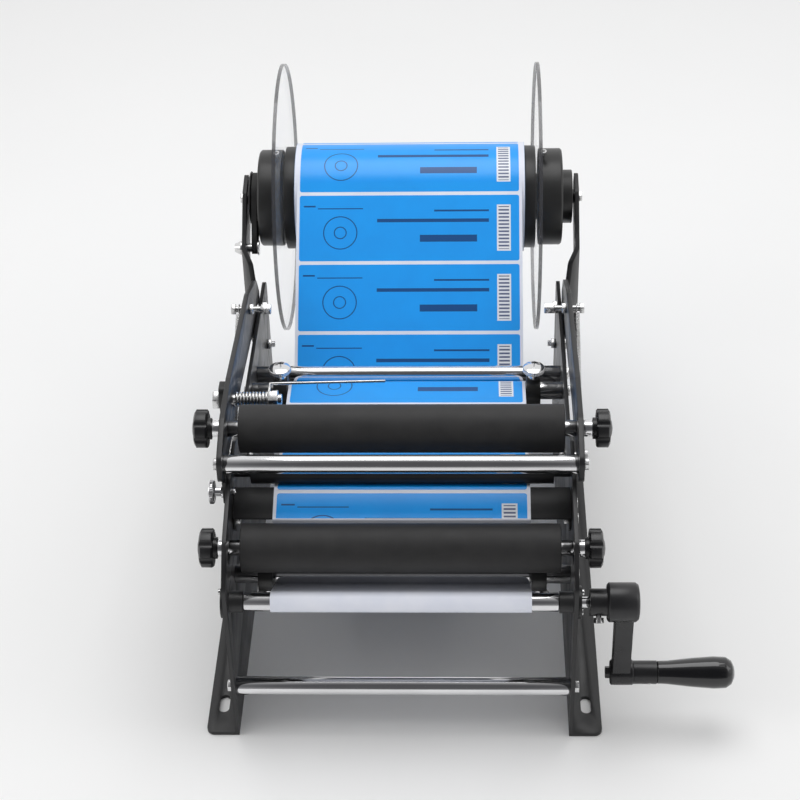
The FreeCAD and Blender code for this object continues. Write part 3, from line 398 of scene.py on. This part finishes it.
def web_line():
    """Points of the web's middle, how far along it the peel edge lies, and where it starts."""
    circles = web_circles()
    lines = [tangent(a, b) for a, b in zip(circles, circles[1:])]
    points, peel_at = [], 0.0

    def arc(circle, p, sweep):
        y, z, radius, side = circle
        start = math.atan2(p[1] - z, p[0] - y)
        steps = max(2, math.ceil(abs(sweep) / ARC_STEP))
        return [(y + radius * math.cos(start + sweep * k / steps),
                 z + radius * math.sin(start + sweep * k / steps)) for k in range(steps + 1)]

    for i, (p, q) in enumerate(lines):
        steps = max(1, math.ceil(math.dist(p, q) / LINE_STEP))
        straight = [(p[0] + (q[0] - p[0]) * k / steps, p[1] + (q[1] - p[1]) * k / steps)
                    for k in range(steps + 1)]
        points += straight if not points else straight[1:]
        circle = circles[i + 1]
        if i + 1 < len(lines):
            start = math.atan2(q[1] - circle[1], q[0] - circle[0])
            leave = lines[i + 1][0]
            sweep = (math.atan2(leave[1] - circle[1], leave[0] - circle[0])
                     - start) * circle[3] % (2 * math.pi) * circle[3]
            if abs(sweep) < FULL_TURN:
                if i == TO_PEEL_EDGE:
                    peel_at = length_of(points)
                points += arc(circle, q, sweep)[1:]
        else:
            points += arc(circle, q, DRIVE_WRAP)[1:]
    return points, peel_at, lines[0][0]


def length_of(points):
    return sum(math.dist(a, b) for a, b in zip(points, points[1:]))


# ---- geometry trees: each is run once for a piece and kept as a plain mesh ----

def geometry_tree(name, inputs):
    tree = bpy.data.node_groups.new(name, "GeometryNodeTree")
    kinds = {"f": "NodeSocketFloat", "i": "NodeSocketInt", "m": "NodeSocketMaterial",
             "o": "NodeSocketObject"}
    for label, kind in inputs:
        tree.interface.new_socket(label, in_out="INPUT", socket_type=kinds[kind])
    tree.interface.new_socket("Geometry", in_out="OUTPUT", socket_type="NodeSocketGeometry")
    return tree, tree.nodes.new("NodeGroupInput").outputs


def geo(tree, kind, settings=None, **inputs):
    node = tree.nodes.new(kind)
    for key, value in (settings or {}).items():
        setattr(node, key, value)
    for label, value in inputs.items():
        wire(tree, value, node.inputs[label.replace("_", " ")])
    return node


def geo_calc(tree, operation, a, b=0.0):
    node = tree.nodes.new("ShaderNodeMath")
    node.operation = operation
    wire(tree, a, node.inputs[0])
    wire(tree, b, node.inputs[1])
    return node.outputs[0]


def close_tree(tree, geometry, material):
    """Every tree ends the same way: real geometry with its own material."""
    real = geo(tree, "GeometryNodeRealizeInstances", Geometry=geometry)
    dressed = geo(tree, "GeometryNodeSetMaterial", Geometry=real.outputs[0], Material=material)
    out = tree.nodes.new("NodeGroupOutput")
    tree.links.new(dressed.outputs[0], out.inputs[0])
    return tree


def grow(name, tree, **values):
    """Run a tree with these inputs and return a plain mesh object."""
    holder = bpy.data.objects.new(name, bpy.data.meshes.new(name))
    bpy.context.scene.collection.objects.link(holder)
    modifier = holder.modifiers.new("tree", "NODES")
    modifier.node_group = tree
    for item in tree.interface.items_tree:
        if item.item_type == "SOCKET" and item.in_out == "INPUT" and item.name in values:
            modifier[item.identifier] = values[item.name]
    seen = bpy.context.evaluated_depsgraph_get()
    mesh = bpy.data.meshes.new_from_object(holder.evaluated_get(seen))
    holder.modifiers.clear()
    old, holder.data = holder.data, mesh
    bpy.data.meshes.remove(old)
    mesh.name = name
    if not mesh.polygons:
        raise RuntimeError(f"{name} grew no faces")
    return holder


def build_wire_tree():
    """A round wire along a line."""
    tree, given = geometry_tree("drawn_wire_along_line", [
        ("Line", "o"), ("Radius", "f"), ("Sides", "i"), ("Finish", "m")])
    line = geo(tree, "GeometryNodeObjectInfo", Object=given["Line"])
    ring = geo(tree, "GeometryNodeCurvePrimitiveCircle", Resolution=given["Sides"],
               Radius=given["Radius"])
    swept = geo(tree, "GeometryNodeCurveToMesh", Curve=line.outputs["Geometry"],
                Profile_Curve=ring.outputs[0])
    swept.inputs["Fill Caps"].default_value = True
    smooth = geo(tree, "GeometryNodeSetShadeSmooth", Geometry=swept.outputs[0])
    return close_tree(tree, smooth.outputs[0], given["Finish"])


def build_web_tree():
    """A thin sheet along a line, which keeps how far along it each point lies."""
    tree, given = geometry_tree("web_along_line", [
        ("Line", "o"), ("Width", "f"), ("Thickness", "f"), ("Finish", "m")])
    line = geo(tree, "GeometryNodeObjectInfo", Object=given["Line"])
    run = tree.nodes.new("GeometryNodeSplineParameter")
    measured = geo(tree, "GeometryNodeStoreNamedAttribute",
                   {"data_type": "FLOAT", "domain": "POINT"}, Geometry=line.outputs["Geometry"],
                   Name="run", Value=run.outputs["Length"])
    section = geo(tree, "GeometryNodeCurvePrimitiveQuadrilateral", Width=given["Width"],
                  Height=given["Thickness"])
    where = tree.nodes.new("GeometryNodeInputPosition")
    parts = tree.nodes.new("ShaderNodeSeparateXYZ")
    tree.links.new(where.outputs[0], parts.inputs[0])
    marked = geo(tree, "GeometryNodeStoreNamedAttribute",
                 {"data_type": "FLOAT", "domain": "POINT"}, Geometry=section.outputs[0],
                 Name="print_side", Value=geo_calc(tree, "LESS_THAN", parts.outputs[1], 0.0))
    swept = geo(tree, "GeometryNodeCurveToMesh", Curve=measured.outputs[0],
                Profile_Curve=marked.outputs[0])
    swept.inputs["Fill Caps"].default_value = True
    return close_tree(tree, swept.outputs[0], given["Finish"])


def build_knurl_tree():
    """Straight ridges round a head, about Z."""
    tree, given = geometry_tree("knurled_ring", [
        ("Count", "i"), ("Radius", "f"), ("Ridge", "f"), ("Height", "f"), ("Finish", "m")])
    circle = geo(tree, "GeometryNodeMeshCircle", Vertices=given["Count"], Radius=given["Radius"])
    ridge = geo(tree, "GeometryNodeMeshCylinder", Vertices=6, Radius=given["Ridge"],
                Depth=given["Height"])
    placed = geo(tree, "GeometryNodeInstanceOnPoints", Points=circle.outputs[0],
                 Instance=ridge.outputs["Mesh"])
    return close_tree(tree, placed.outputs[0], given["Finish"])


def build_screw_tree():
    """Socket screws that stand on a round hub, about X."""
    tree, given = geometry_tree("hub_screws", [
        ("Count", "i"), ("Start", "f"), ("Seat", "f"), ("Head Radius", "f"), ("Head", "f"),
        ("Neck", "f"), ("Finish", "m")])
    hexagon = geo_calc(tree, "MULTIPLY", given["Head Radius"], 0.55)
    head = geo(tree, "GeometryNodeMeshCylinder", Vertices=24, Radius=given["Head Radius"],
               Depth=given["Head"])
    socket = geo(tree, "GeometryNodeMeshCylinder", Vertices=6, Radius=hexagon,
                 Depth=given["Head"])
    lift = tree.nodes.new("ShaderNodeCombineXYZ")
    tree.links.new(geo_calc(tree, "MULTIPLY", given["Head"], 0.55), lift.inputs[2])
    raised = geo(tree, "GeometryNodeTransform", Geometry=socket.outputs["Mesh"],
                 Translation=lift.outputs[0])
    bored = tree.nodes.new("GeometryNodeMeshBoolean")
    bored.operation = "DIFFERENCE"
    tree.links.new(head.outputs["Mesh"], bored.inputs["Mesh 1"])
    tree.links.new(raised.outputs[0], bored.inputs["Mesh 2"])
    shank = geo(tree, "GeometryNodeMeshCylinder", Vertices=16, Radius=hexagon,
                Depth=given["Neck"])
    drop = tree.nodes.new("ShaderNodeCombineXYZ")
    tree.links.new(geo_calc(tree, "MULTIPLY", geo_calc(tree, "ADD", given["Head"],
                                                       given["Neck"]), -0.5), drop.inputs[2])
    lowered = geo(tree, "GeometryNodeTransform", Geometry=shank.outputs["Mesh"],
                  Translation=drop.outputs[0])
    screw = tree.nodes.new("GeometryNodeJoinGeometry")
    tree.links.new(bored.outputs["Mesh"], screw.inputs[0])
    tree.links.new(lowered.outputs[0], screw.inputs[0])
    seats = geo(tree, "GeometryNodePoints", Count=given["Count"])
    number = tree.nodes.new("GeometryNodeInputIndex")
    turn = geo_calc(tree, "DIVIDE", 2 * math.pi, given["Count"])
    angle = geo_calc(tree, "ADD", geo_calc(tree, "MULTIPLY", number.outputs[0], turn),
                     given["Start"])
    reach = geo_calc(tree, "ADD", given["Seat"], geo_calc(
        tree, "ADD", given["Neck"], geo_calc(tree, "MULTIPLY", given["Head"], 0.5)))
    spot = tree.nodes.new("ShaderNodeCombineXYZ")
    tree.links.new(geo_calc(tree, "MULTIPLY", reach, geo_calc(tree, "COSINE", angle)),
                   spot.inputs[1])
    tree.links.new(geo_calc(tree, "MULTIPLY", reach, geo_calc(tree, "SINE", angle)),
                   spot.inputs[2])
    moved = geo(tree, "GeometryNodeSetPosition", Geometry=seats.outputs[0],
                Position=spot.outputs[0])
    lean = tree.nodes.new("ShaderNodeCombineXYZ")
    tree.links.new(geo_calc(tree, "SUBTRACT", angle, math.pi / 2), lean.inputs[0])
    placed = geo(tree, "GeometryNodeInstanceOnPoints", Points=moved.outputs[0],
                 Instance=screw.outputs[0], Rotation=lean.outputs[0])
    return close_tree(tree, placed.outputs[0], given["Finish"])


wire_tree, web_tree = build_wire_tree(), build_web_tree()
knurl_tree, screw_tree = build_knurl_tree(), build_screw_tree()


def line_object(name, points):
    """A plain line through points, used only as the way of a wire or a sheet."""
    curve = bpy.data.curves.new(name, "CURVE")
    curve.dimensions = "3D"
    spline = curve.splines.new("POLY")
    spline.points.add(len(points) - 1)
    for slot, point in zip(spline.points, points):
        slot.co = (*point, 1)
    item = bpy.data.objects.new(name, curve)
    bpy.context.scene.collection.objects.link(item)
    return item


def wire_along(name, points, radius, sides, material):
    line = line_object(f"{name}_line", points)
    piece = grow(name, wire_tree, Line=line, Radius=radius, Sides=sides, Finish=material)
    bpy.data.objects.remove(line)
    return piece


def joined(name, pieces):
    """Merge plain mesh pieces into the first one."""
    made = bmesh.new()
    materials = []
    for piece in pieces:
        first = len(materials)
        materials += list(piece.data.materials)
        before = len(made.faces)
        piece.data.transform(piece.matrix_basis)
        made.from_mesh(piece.data)
        made.faces.ensure_lookup_table()
        for face in made.faces[before:]:
            face.material_index += first
    mesh = bpy.data.meshes.new(name)
    made.to_mesh(mesh)
    made.free()
    for material in materials:
        mesh.materials.append(material)
    for piece in pieces:
        bpy.data.objects.remove(piece)
    item = bpy.data.objects.new(name, mesh)
    bpy.context.scene.collection.objects.link(item)
    return item


def move(piece, matrix):
    """Bake a place into the mesh, so that the object stays at the origin."""
    piece.data.transform(matrix)
    piece.data.update()
    return piece


def along(axis):
    """Turns +Z to an axis."""
    return UP.rotation_difference(Vector(axis)).to_matrix().to_4x4()


def lathed(name, profile, axis, origin, material, steps=72):
    """A closed turned piece from (distance, radius) pairs along an axis."""
    made = bmesh.new()
    rings = []
    for distance, radius in profile:
        if radius < 1e-6:
            rings.append([made.verts.new((0, 0, distance))])
        else:
            rings.append([made.verts.new((radius * math.cos(2 * math.pi * k / steps),
                                          radius * math.sin(2 * math.pi * k / steps), distance))
                          for k in range(steps)])
    for a, b in zip(rings, rings[1:]):
        for k in range(steps):
            corners = [a[k % len(a)], a[(k + 1) % len(a)], b[(k + 1) % len(b)], b[k % len(b)]]
            made.faces.new(list(dict.fromkeys(corners)))
    bmesh.ops.recalc_face_normals(made, faces=made.faces)
    mesh = bpy.data.meshes.new(name)
    made.to_mesh(mesh)
    made.free()
    mesh.materials.append(material)
    item = bpy.data.objects.new(name, mesh)
    bpy.context.scene.collection.objects.link(item)
    move(item, Matrix.Translation(origin) @ along(axis))
    smooth_faces(mesh, 32)
    return item


def smooth_faces(mesh, degrees):
    mesh.shade_smooth()
    mesh.set_sharp_from_angle(angle=math.radians(degrees))


# ---- CAD parts whose sharp edges are eased, as coating, moulding and deburring leave them ----

WELD = 2e-6
FLAT, CORNER, SMOOTH = math.radians(0.6), math.radians(35), 40


def eased(node, width, material, segments=2):
    """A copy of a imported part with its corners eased, which takes the part's place."""
    made = bmesh.new()
    made.from_mesh(frame["nodes"][node].data)
    bmesh.ops.remove_doubles(made, verts=made.verts, dist=WELD)
    bmesh.ops.dissolve_limit(made, angle_limit=FLAT, verts=made.verts,
                             edges=made.edges)
    mesh = bpy.data.meshes.new(f"{node}_eased")
    made.to_mesh(mesh)
    made.free()
    mesh.materials.clear()
    mesh.materials.append(material)
    for face in mesh.polygons:
        face.material_index = 0
    item = bpy.data.objects.new(f"{node}_eased", mesh)
    bpy.context.scene.collection.objects.link(item)
    bevel = item.modifiers.new("ease", "BEVEL")
    bevel.width, bevel.segments = width, segments
    bevel.limit_method, bevel.angle_limit = "ANGLE", CORNER
    seen = bpy.context.evaluated_depsgraph_get()
    final = bpy.data.meshes.new_from_object(item.evaluated_get(seen))
    item.modifiers.clear()
    item.data = final
    smooth_faces(final, SMOOTH)
    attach(item, body_with(node))
    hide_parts(node)
    return item


def paint(node, material):
    """Give a CAD part a finish in place of its plain colour."""
    mesh = frame["nodes"][node].data
    mesh.materials.clear()
    mesh.materials.append(material)


for _, word in SIDES:
    for plate in ("side_plate", "press_arm", "reel_arm"):
        eased(f"{plate}_{word}", 0.5 * MM, powder_coat)
    eased(f"drive_bearing_{word}", 0.4 * MM, powder_coat)
    for knob in ("lower_knob", "upper_knob"):
        eased(f"{knob}_{word}", 0.7 * MM, moulded_black, 3)
    eased(f"reel_hub_{word}", 0.6 * MM, turned_nylon)
    eased(f"reel_plug_{word}", 0.5 * MM, turned_nylon)
    for collar in ("upper_collar", "front_collar"):
        eased(f"{collar}_{word}", 0.4 * MM, turned_nylon)
eased("peel_plate", 0.25 * MM, powder_coat)
eased("arm_stop", 0.3 * MM, powder_coat)
eased("wire_lug", 0.6 * MM, powder_coat)
eased("crank_arm", 1.0 * MM, moulded_black, 3)
eased("crank_grip", 0.8 * MM, phenolic, 3)
for roller in ("lower_roller", "upper_roller"):
    eased(roller, 0.8 * MM, roller_rubber, 3)
eased("idler_roller", 0.4 * MM, powder_coat)
for bolts in ("frame_bolts", "frame_screws", "press_arm_bolts", "spring_anchors", "arm_pivots",
              "wire_bolt"):
    eased(bolts, 0.35 * MM, zinc)
for rod in ("tie_rod", "web_rod_rear", "web_rod_middle", "web_rod_front", "press_rod",
            "drive_roller", "lower_axle", "upper_axle", "lower_spacers", "upper_spacers",
            "reel_axle"):
    eased(rod, 0.4 * MM, chrome)
paint("grip_pin", moulded_black)
paint("brake_belt", belt_rubber)
paint("belt_anchor", zinc)
for _, word in SIDES:
    disc = f"reel_disc_{word}"
    paint(disc, clear_sheet(f"clear_disc_{word}", round_part(disc)[1], disc))


# ---- label web and roll ----

web_points, peel_at, leaves_roll = web_line()
roll_middle, roll_radius = round_part("label_roll")
leave_angle = math.atan2(leaves_roll[1] - roll_middle.z, leaves_roll[0] - roll_middle.y)
FIRST_EDGE = 12 * MM        # from where the web leaves the roll to the next label's edge
ROLL_SEAM = math.pi * 0.75  # the joint of the roll's print, kept round the back
END_FACE = 97.2 * MM        # beyond this lie the roll's ends


def web_material():
    material, tree, shader, place = new_material("printed_web")
    run = tree.nodes.new("ShaderNodeAttribute")
    run.attribute_name = "run"
    face = tree.nodes.new("ShaderNodeAttribute")
    face.attribute_name = "print_side"
    x = calc(tree, "SUBTRACT", split(tree, place)[0], MIDDLE_X)
    before_peel = calc(tree, "LESS_THAN", run.outputs["Fac"], peel_at)
    shown = calc(tree, "MULTIPLY", before_peel,
                 calc(tree, "GREATER_THAN", face.outputs["Fac"], 0.5))
    along_web = calc(tree, "SUBTRACT", run.outputs["Fac"], FIRST_EDGE)
    colour = paint_labels(tree, shader, place, along_web, x, shown)
    tree.links.new(colour, shader.inputs["Base Color"])
    return material


def roll_material():
    """The same print wound on the roll, with the wound edges of the paper at its ends."""
    material, tree, shader, place = new_material("printed_roll")
    x, y, z = split(tree, place)
    dy, dz = (calc(tree, "SUBTRACT", y, roll_middle.y), calc(tree, "SUBTRACT", z, roll_middle.z))
    seam = leave_angle + math.pi - ROLL_SEAM
    turned_y = calc(tree, "ADD", calc(tree, "MULTIPLY", dy, -math.cos(seam)),
                    calc(tree, "MULTIPLY", dz, -math.sin(seam)))
    turned_z = calc(tree, "SUBTRACT", calc(tree, "MULTIPLY", dy, math.sin(seam)),
                    calc(tree, "MULTIPLY", dz, math.cos(seam)))
    angle = calc(tree, "ARCTAN2", turned_z, turned_y)
    run = calc(tree, "MULTIPLY", calc(tree, "SUBTRACT", angle, ROLL_SEAM), roll_radius)
    across = calc(tree, "SUBTRACT", x, MIDDLE_X)
    inside_end = calc(tree, "LESS_THAN", calc(tree, "ABSOLUTE", across), END_FACE)
    colour = paint_labels(tree, shader, place, calc(tree, "SUBTRACT", run, FIRST_EDGE), across,
                          inside_end)
    reach = calc(tree, "SQRT", calc(tree, "ADD", calc(tree, "MULTIPLY", dy, dy),
                                    calc(tree, "MULTIPLY", dz, dz)))
    layers = noise(tree, None, 5200.0, 2, 0.6, line=reach)
    edge = blend_colour(tree, layers, (0.10, 0.30, 0.62), (0.82, 0.84, 0.90))
    tree.links.new(blend_colour(tree, inside_end, edge, colour), shader.inputs["Base Color"])
    return material


web_way = line_object("web_way", [(MIDDLE_X, y, z) for y, z in web_points])
web_low, web_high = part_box("label_web")
web = grow("printed_label_web", web_tree, Line=web_way, Width=web_high.x - web_low.x,
           Thickness=0.4 * MM, Finish=web_material())
bpy.data.objects.remove(web_way)
smooth_faces(web.data, 30)
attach(web, "frame")
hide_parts("label_web")
paint("label_roll", roll_material())


# ---- tension springs that pull the press arms down ----

def helix(start, end, radius, pitch, steps=12):
    """Points of a coil from start to end."""
    start, end = Vector(start), Vector(end)
    axis = (end - start).normalized()
    side = axis.cross(X_AXIS) if abs(axis.x) < 0.9 else axis.cross(UP)
    side.normalize()
    other = axis.cross(side)
    turns = round((end - start).length / pitch)
    count = turns * steps
    return [start + (end - start) * (k / count)
            + (side * math.cos(2 * math.pi * k / steps)
               + other * math.sin(2 * math.pi * k / steps)) * radius for k in range(count + 1)]


def hook(eye, towards, radius, coil_end):
    """An open loop round a bolt, in the YZ plane, that ends at the coil."""
    back = Vector(towards).normalized()
    side = back.cross(X_AXIS)
    return [eye + (back * math.cos(a) + side * math.sin(a)) * radius
            for a in (math.radians(d) for d in range(300, 0, -20))] + [coil_end]


EYE, LOOP = 3.7 * MM, 4.3 * MM          # a hook's radius, to the middle and to the outside
COIL_GAP, RIGID_END = 4.6 * MM, 6 * MM  # from a bolt to the coil
COIL_RADIUS, COIL_PITCH, COIL_WIRE = 2.15 * MM, 1.28 * MM, 0.56 * MM
for _, word in SIDES:
    low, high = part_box(f"arm_spring_{word}")
    x = (low.x + high.x) / 2
    post = Vector((x, low.y + LOOP, low.z + LOOP))
    stud = Vector((x, high.y - LOOP, high.z - LOOP))
    way = (stud - post).normalized()
    coil = helix(post + way * COIL_GAP, stud - way * COIL_GAP, COIL_RADIUS, COIL_PITCH)
    far_hook = hook(stud, -way, EYE, coil[-1])[::-1]
    spring = wire_along(f"arm_spring_coil_{word}",
                        hook(post, way, EYE, coil[0]) + coil[1:] + far_hook[1:], COIL_WIRE, 6,
                        spring_wire)
    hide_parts(f"arm_spring_{word}")
    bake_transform(spring)


# ---- hold-down wire: a coil on its bolt, with one long leg over the web ----

LEG_WAY, LEG_LONG = Vector((1, 0.13, -0.07)).normalized(), 88 * MM
bolt_middle = centre_of("wire_bolt")
coil_start = Vector((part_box("press_arm_left")[1].x + 0.9 * MM, bolt_middle.y, bolt_middle.z))
coil_end = coil_start + X_AXIS * 25.2 * MM
turns = helix(coil_start, coil_end, 4.85 * MM, 2.62 * MM, 20)
leg_start = coil_end + Vector((1.6, 9.4, 7.8)) * MM
rise = [turns[-1].lerp(leg_start, t) for t in (0.35, 0.7)]
leg = [leg_start + LEG_WAY * LEG_LONG * t for t in (0, 0.03, 0.35, 0.7, 1)]
hold_down = wire_along("hold_down_wire", turns + rise + leg, 1.15 * MM, 10, spring_wire)
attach(hold_down, "press_arms")
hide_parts("wire_spring")


# ---- knurled thumbscrews ----

KNURLS, HEAD_HIGH = 44, 6 * MM


def thumbscrew(node, axis):
    """A domed knurled head on a stepped neck and a threaded shank."""
    axis = Vector(axis)
    low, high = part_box(node)
    middle = (low + high) / 2
    top = max((low - middle).dot(axis), (high - middle).dot(axis))
    tip, head_low = -top, top - HEAD_HIGH
    head = lathed(f"{node}_head", [
        (tip, 0), (tip, 2.1 * MM), (tip + 0.5 * MM, 2.5 * MM), (head_low - 6 * MM, 2.5 * MM),
        (head_low - 6 * MM, 4.2 * MM), (head_low - 4.6 * MM, 4.3 * MM),
        (head_low - 4.2 * MM, 3.7 * MM), (head_low, 3.6 * MM), (head_low + 0.2 * MM, 6.2 * MM),
        (head_low + 0.7 * MM, 8.3 * MM), (head_low + 1.2 * MM, 8.6 * MM),
        (top - 2.3 * MM, 8.6 * MM), (top - 1.7 * MM, 8.3 * MM), (top - 1.0 * MM, 7.0 * MM),
        (top - 0.4 * MM, 4.6 * MM), (top - 0.08 * MM, 2.2 * MM), (top, 0)],
        axis, middle, chrome)
    ridges = grow(f"{node}_knurl", knurl_tree, Count=KNURLS, Radius=8.55 * MM, Ridge=0.36 * MM,
                  Height=2.6 * MM, Finish=chrome)
    move(ridges, Matrix.Translation(middle + axis * (head_low + 2.5 * MM)) @ along(axis))
    thread = wire_along(f"{node}_thread", helix(
        middle + axis * (tip + 0.6 * MM), middle + axis * (head_low - 6.4 * MM), 2.35 * MM,
        0.8 * MM), 0.24 * MM, 5, chrome)
    piece = joined(f"{node}_turned", [head, ridges, thread])
    smooth_faces(piece.data, 32)
    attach(piece, body_with(node))
    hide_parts(node)


for _, word in SIDES:
    thumbscrew(f"upper_collar_{word}_screw", (0, 0, 1))
    thumbscrew(f"front_collar_{word}_screw", (0, 0, -1))
thumbscrew("arm_stop_screw", (-1, 0, 0))


# ---- socket screws on the hubs, the crank and the grip neck ----

def hub_screws(name, body, x, node, count, start, seat, head_radius, head, neck):
    middle = centre_of(node)
    piece = grow(name, screw_tree, Count=count, Start=start, Seat=seat, Finish=zinc,
                 **{"Head Radius": head_radius, "Head": head, "Neck": neck})
    move(piece, Matrix.Translation((x, middle.y, middle.z)))
    smooth_faces(piece.data, 35)
    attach(piece, body)


for side, word in SIDES:
    middle, radius = round_part(f"reel_hub_{word}")
    face = max(abs(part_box(f"reel_disc_{word}")[k].x - MIDDLE_X) for k in (0, 1))
    hub_screws(f"hub_clamp_screw_{word}", "reel", MIDDLE_X + side * (face + 3.6 * MM),
               f"reel_hub_{word}", 1, math.radians(100), radius - 1.5 * MM, 2.6 * MM, 3.4 * MM,
               7.5 * MM)
crank_hub_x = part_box("crank_arm")[0].x
hub_screws("crank_set_screw", "drive", crank_hub_x + 6.4 * MM, "drive_roller", 1,
           math.radians(222), 9.2 * MM, 3.6 * MM, 3.8 * MM, 2.2 * MM)
neck_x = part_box("crank_grip")[0].x
hub_screws("grip_neck_screw", "drive", neck_x - 6.0 * MM, "grip_pin", 1, math.radians(205),
           7.2 * MM, 1.3 * MM, 1.0 * MM, 0.9 * MM)


# ---- camera, above the operator's side ----

LENS, SENSOR = 88.6, 36
CAMERA_PLACE = (0.0025, -1.3098, 1.1039)
CAMERA_RIGHT, CAMERA_UP = Vector((0.99942, 0.02606, -0.02210)), Vector((0.00188, 0.60370, 0.79720))
CAMERA_AHEAD = Vector((-0.03412, 0.79677, -0.60330))
camera = bpy.data.objects.new("camera", bpy.data.cameras.new("camera"))
bpy.context.scene.collection.objects.link(camera)
camera.data.sensor_width, camera.data.lens = SENSOR, LENS
camera.data.clip_start, camera.data.clip_end = 0.05, 60
turn = Matrix((CAMERA_RIGHT, CAMERA_UP, -CAMERA_AHEAD)).transposed()
camera.matrix_world = Matrix.Translation(CAMERA_PLACE) @ turn.to_4x4()
bpy.context.scene.camera = camera


# ---- floor, lamps and world ----

FLOOR_RADIUS, FLOOR_DROP = 7.0, 0.2 * MM


def studio_floor():
    made = bmesh.new()
    bmesh.ops.create_circle(made, cap_ends=True, segments=96, radius=FLOOR_RADIUS)
    mesh = bpy.data.meshes.new("floor")
    made.to_mesh(mesh)
    made.free()
    mesh.transform(Matrix.Translation((0, 0, -FLOOR_DROP)))
    material, tree, shader, place = new_material("pale_floor")
    relief = use(tree, coat_grain, Vector=place, Scale=120.0)
    tree.links.new(blend_colour(tree, relief["Mottle"], (0.90, 0.90, 0.90), (0.91, 0.91, 0.91)),
                   shader.inputs["Base Color"])
    shader.inputs["Roughness"].default_value = 0.85
    shader.inputs["Specular IOR Level"].default_value = 0.1
    mesh.materials.append(material)
    item = bpy.data.objects.new("floor", mesh)
    bpy.context.scene.collection.objects.link(item)


def softbox(name, place, target, width, height, power):
    lamp = bpy.data.lights.new(name, "AREA")
    lamp.shape = "RECTANGLE"
    lamp.size, lamp.size_y, lamp.energy = width, height, power
    item = bpy.data.objects.new(name, lamp)
    item.location = place
    item.rotation_mode = "QUATERNION"
    item.rotation_quaternion = (Vector(target) - Vector(place)).to_track_quat("-Z", "Y")
    bpy.context.scene.collection.objects.link(item)


def studio_world():
    """Pale all round, with a darker side behind the operator for the metal to show."""
    world = bpy.data.worlds.new("studio")
    bpy.context.scene.world = world
    world.use_nodes = True
    tree = world.node_tree
    tree.nodes.clear()
    direction = tree.nodes.new("ShaderNodeTexCoord").outputs["Generated"]
    towards = tree.nodes.new("ShaderNodeVectorMath")
    towards.operation = "DOT_PRODUCT"
    tree.links.new(direction, towards.inputs[0])
    towards.inputs[1].default_value = Vector((0.0, -0.80, 0.60)).normalized()
    dim = spread(tree, towards.outputs["Value"], 0.25, 0.92)
    seen = blend_colour(tree, dim, (0.92, 0.92, 0.92), (0.10, 0.10, 0.105))
    path = tree.nodes.new("ShaderNodeLightPath")
    metal = calc(tree, "MAXIMUM", path.outputs["Is Glossy Ray"],
                 path.outputs["Is Transmission Ray"])
    colour = blend_colour(tree, metal, (0.60, 0.60, 0.60), seen)
    colour = blend_colour(tree, path.outputs["Is Camera Ray"], colour, (0.92, 0.92, 0.92))
    back = tree.nodes.new("ShaderNodeBackground")
    tree.links.new(colour, back.inputs["Color"])
    out = tree.nodes.new("ShaderNodeOutputWorld")
    tree.links.new(back.outputs[0], out.inputs[0])


studio_floor()
studio_world()
softbox("overhead", (0.0, 0.35, 1.9), (0.0, 0.0, 0.0), 1.5, 1.2, 15.0)
softbox("left_bank", (-1.5, -0.5, 1.1), (0.0, 0.0, 0.15), 0.8, 1.1, 5.0)
softbox("right_bank", (1.6, -0.3, 1.2), (0.0, 0.0, 0.15), 0.8, 1.1, 4.0)
bpy.context.scene.view_settings.view_transform = "Standard"
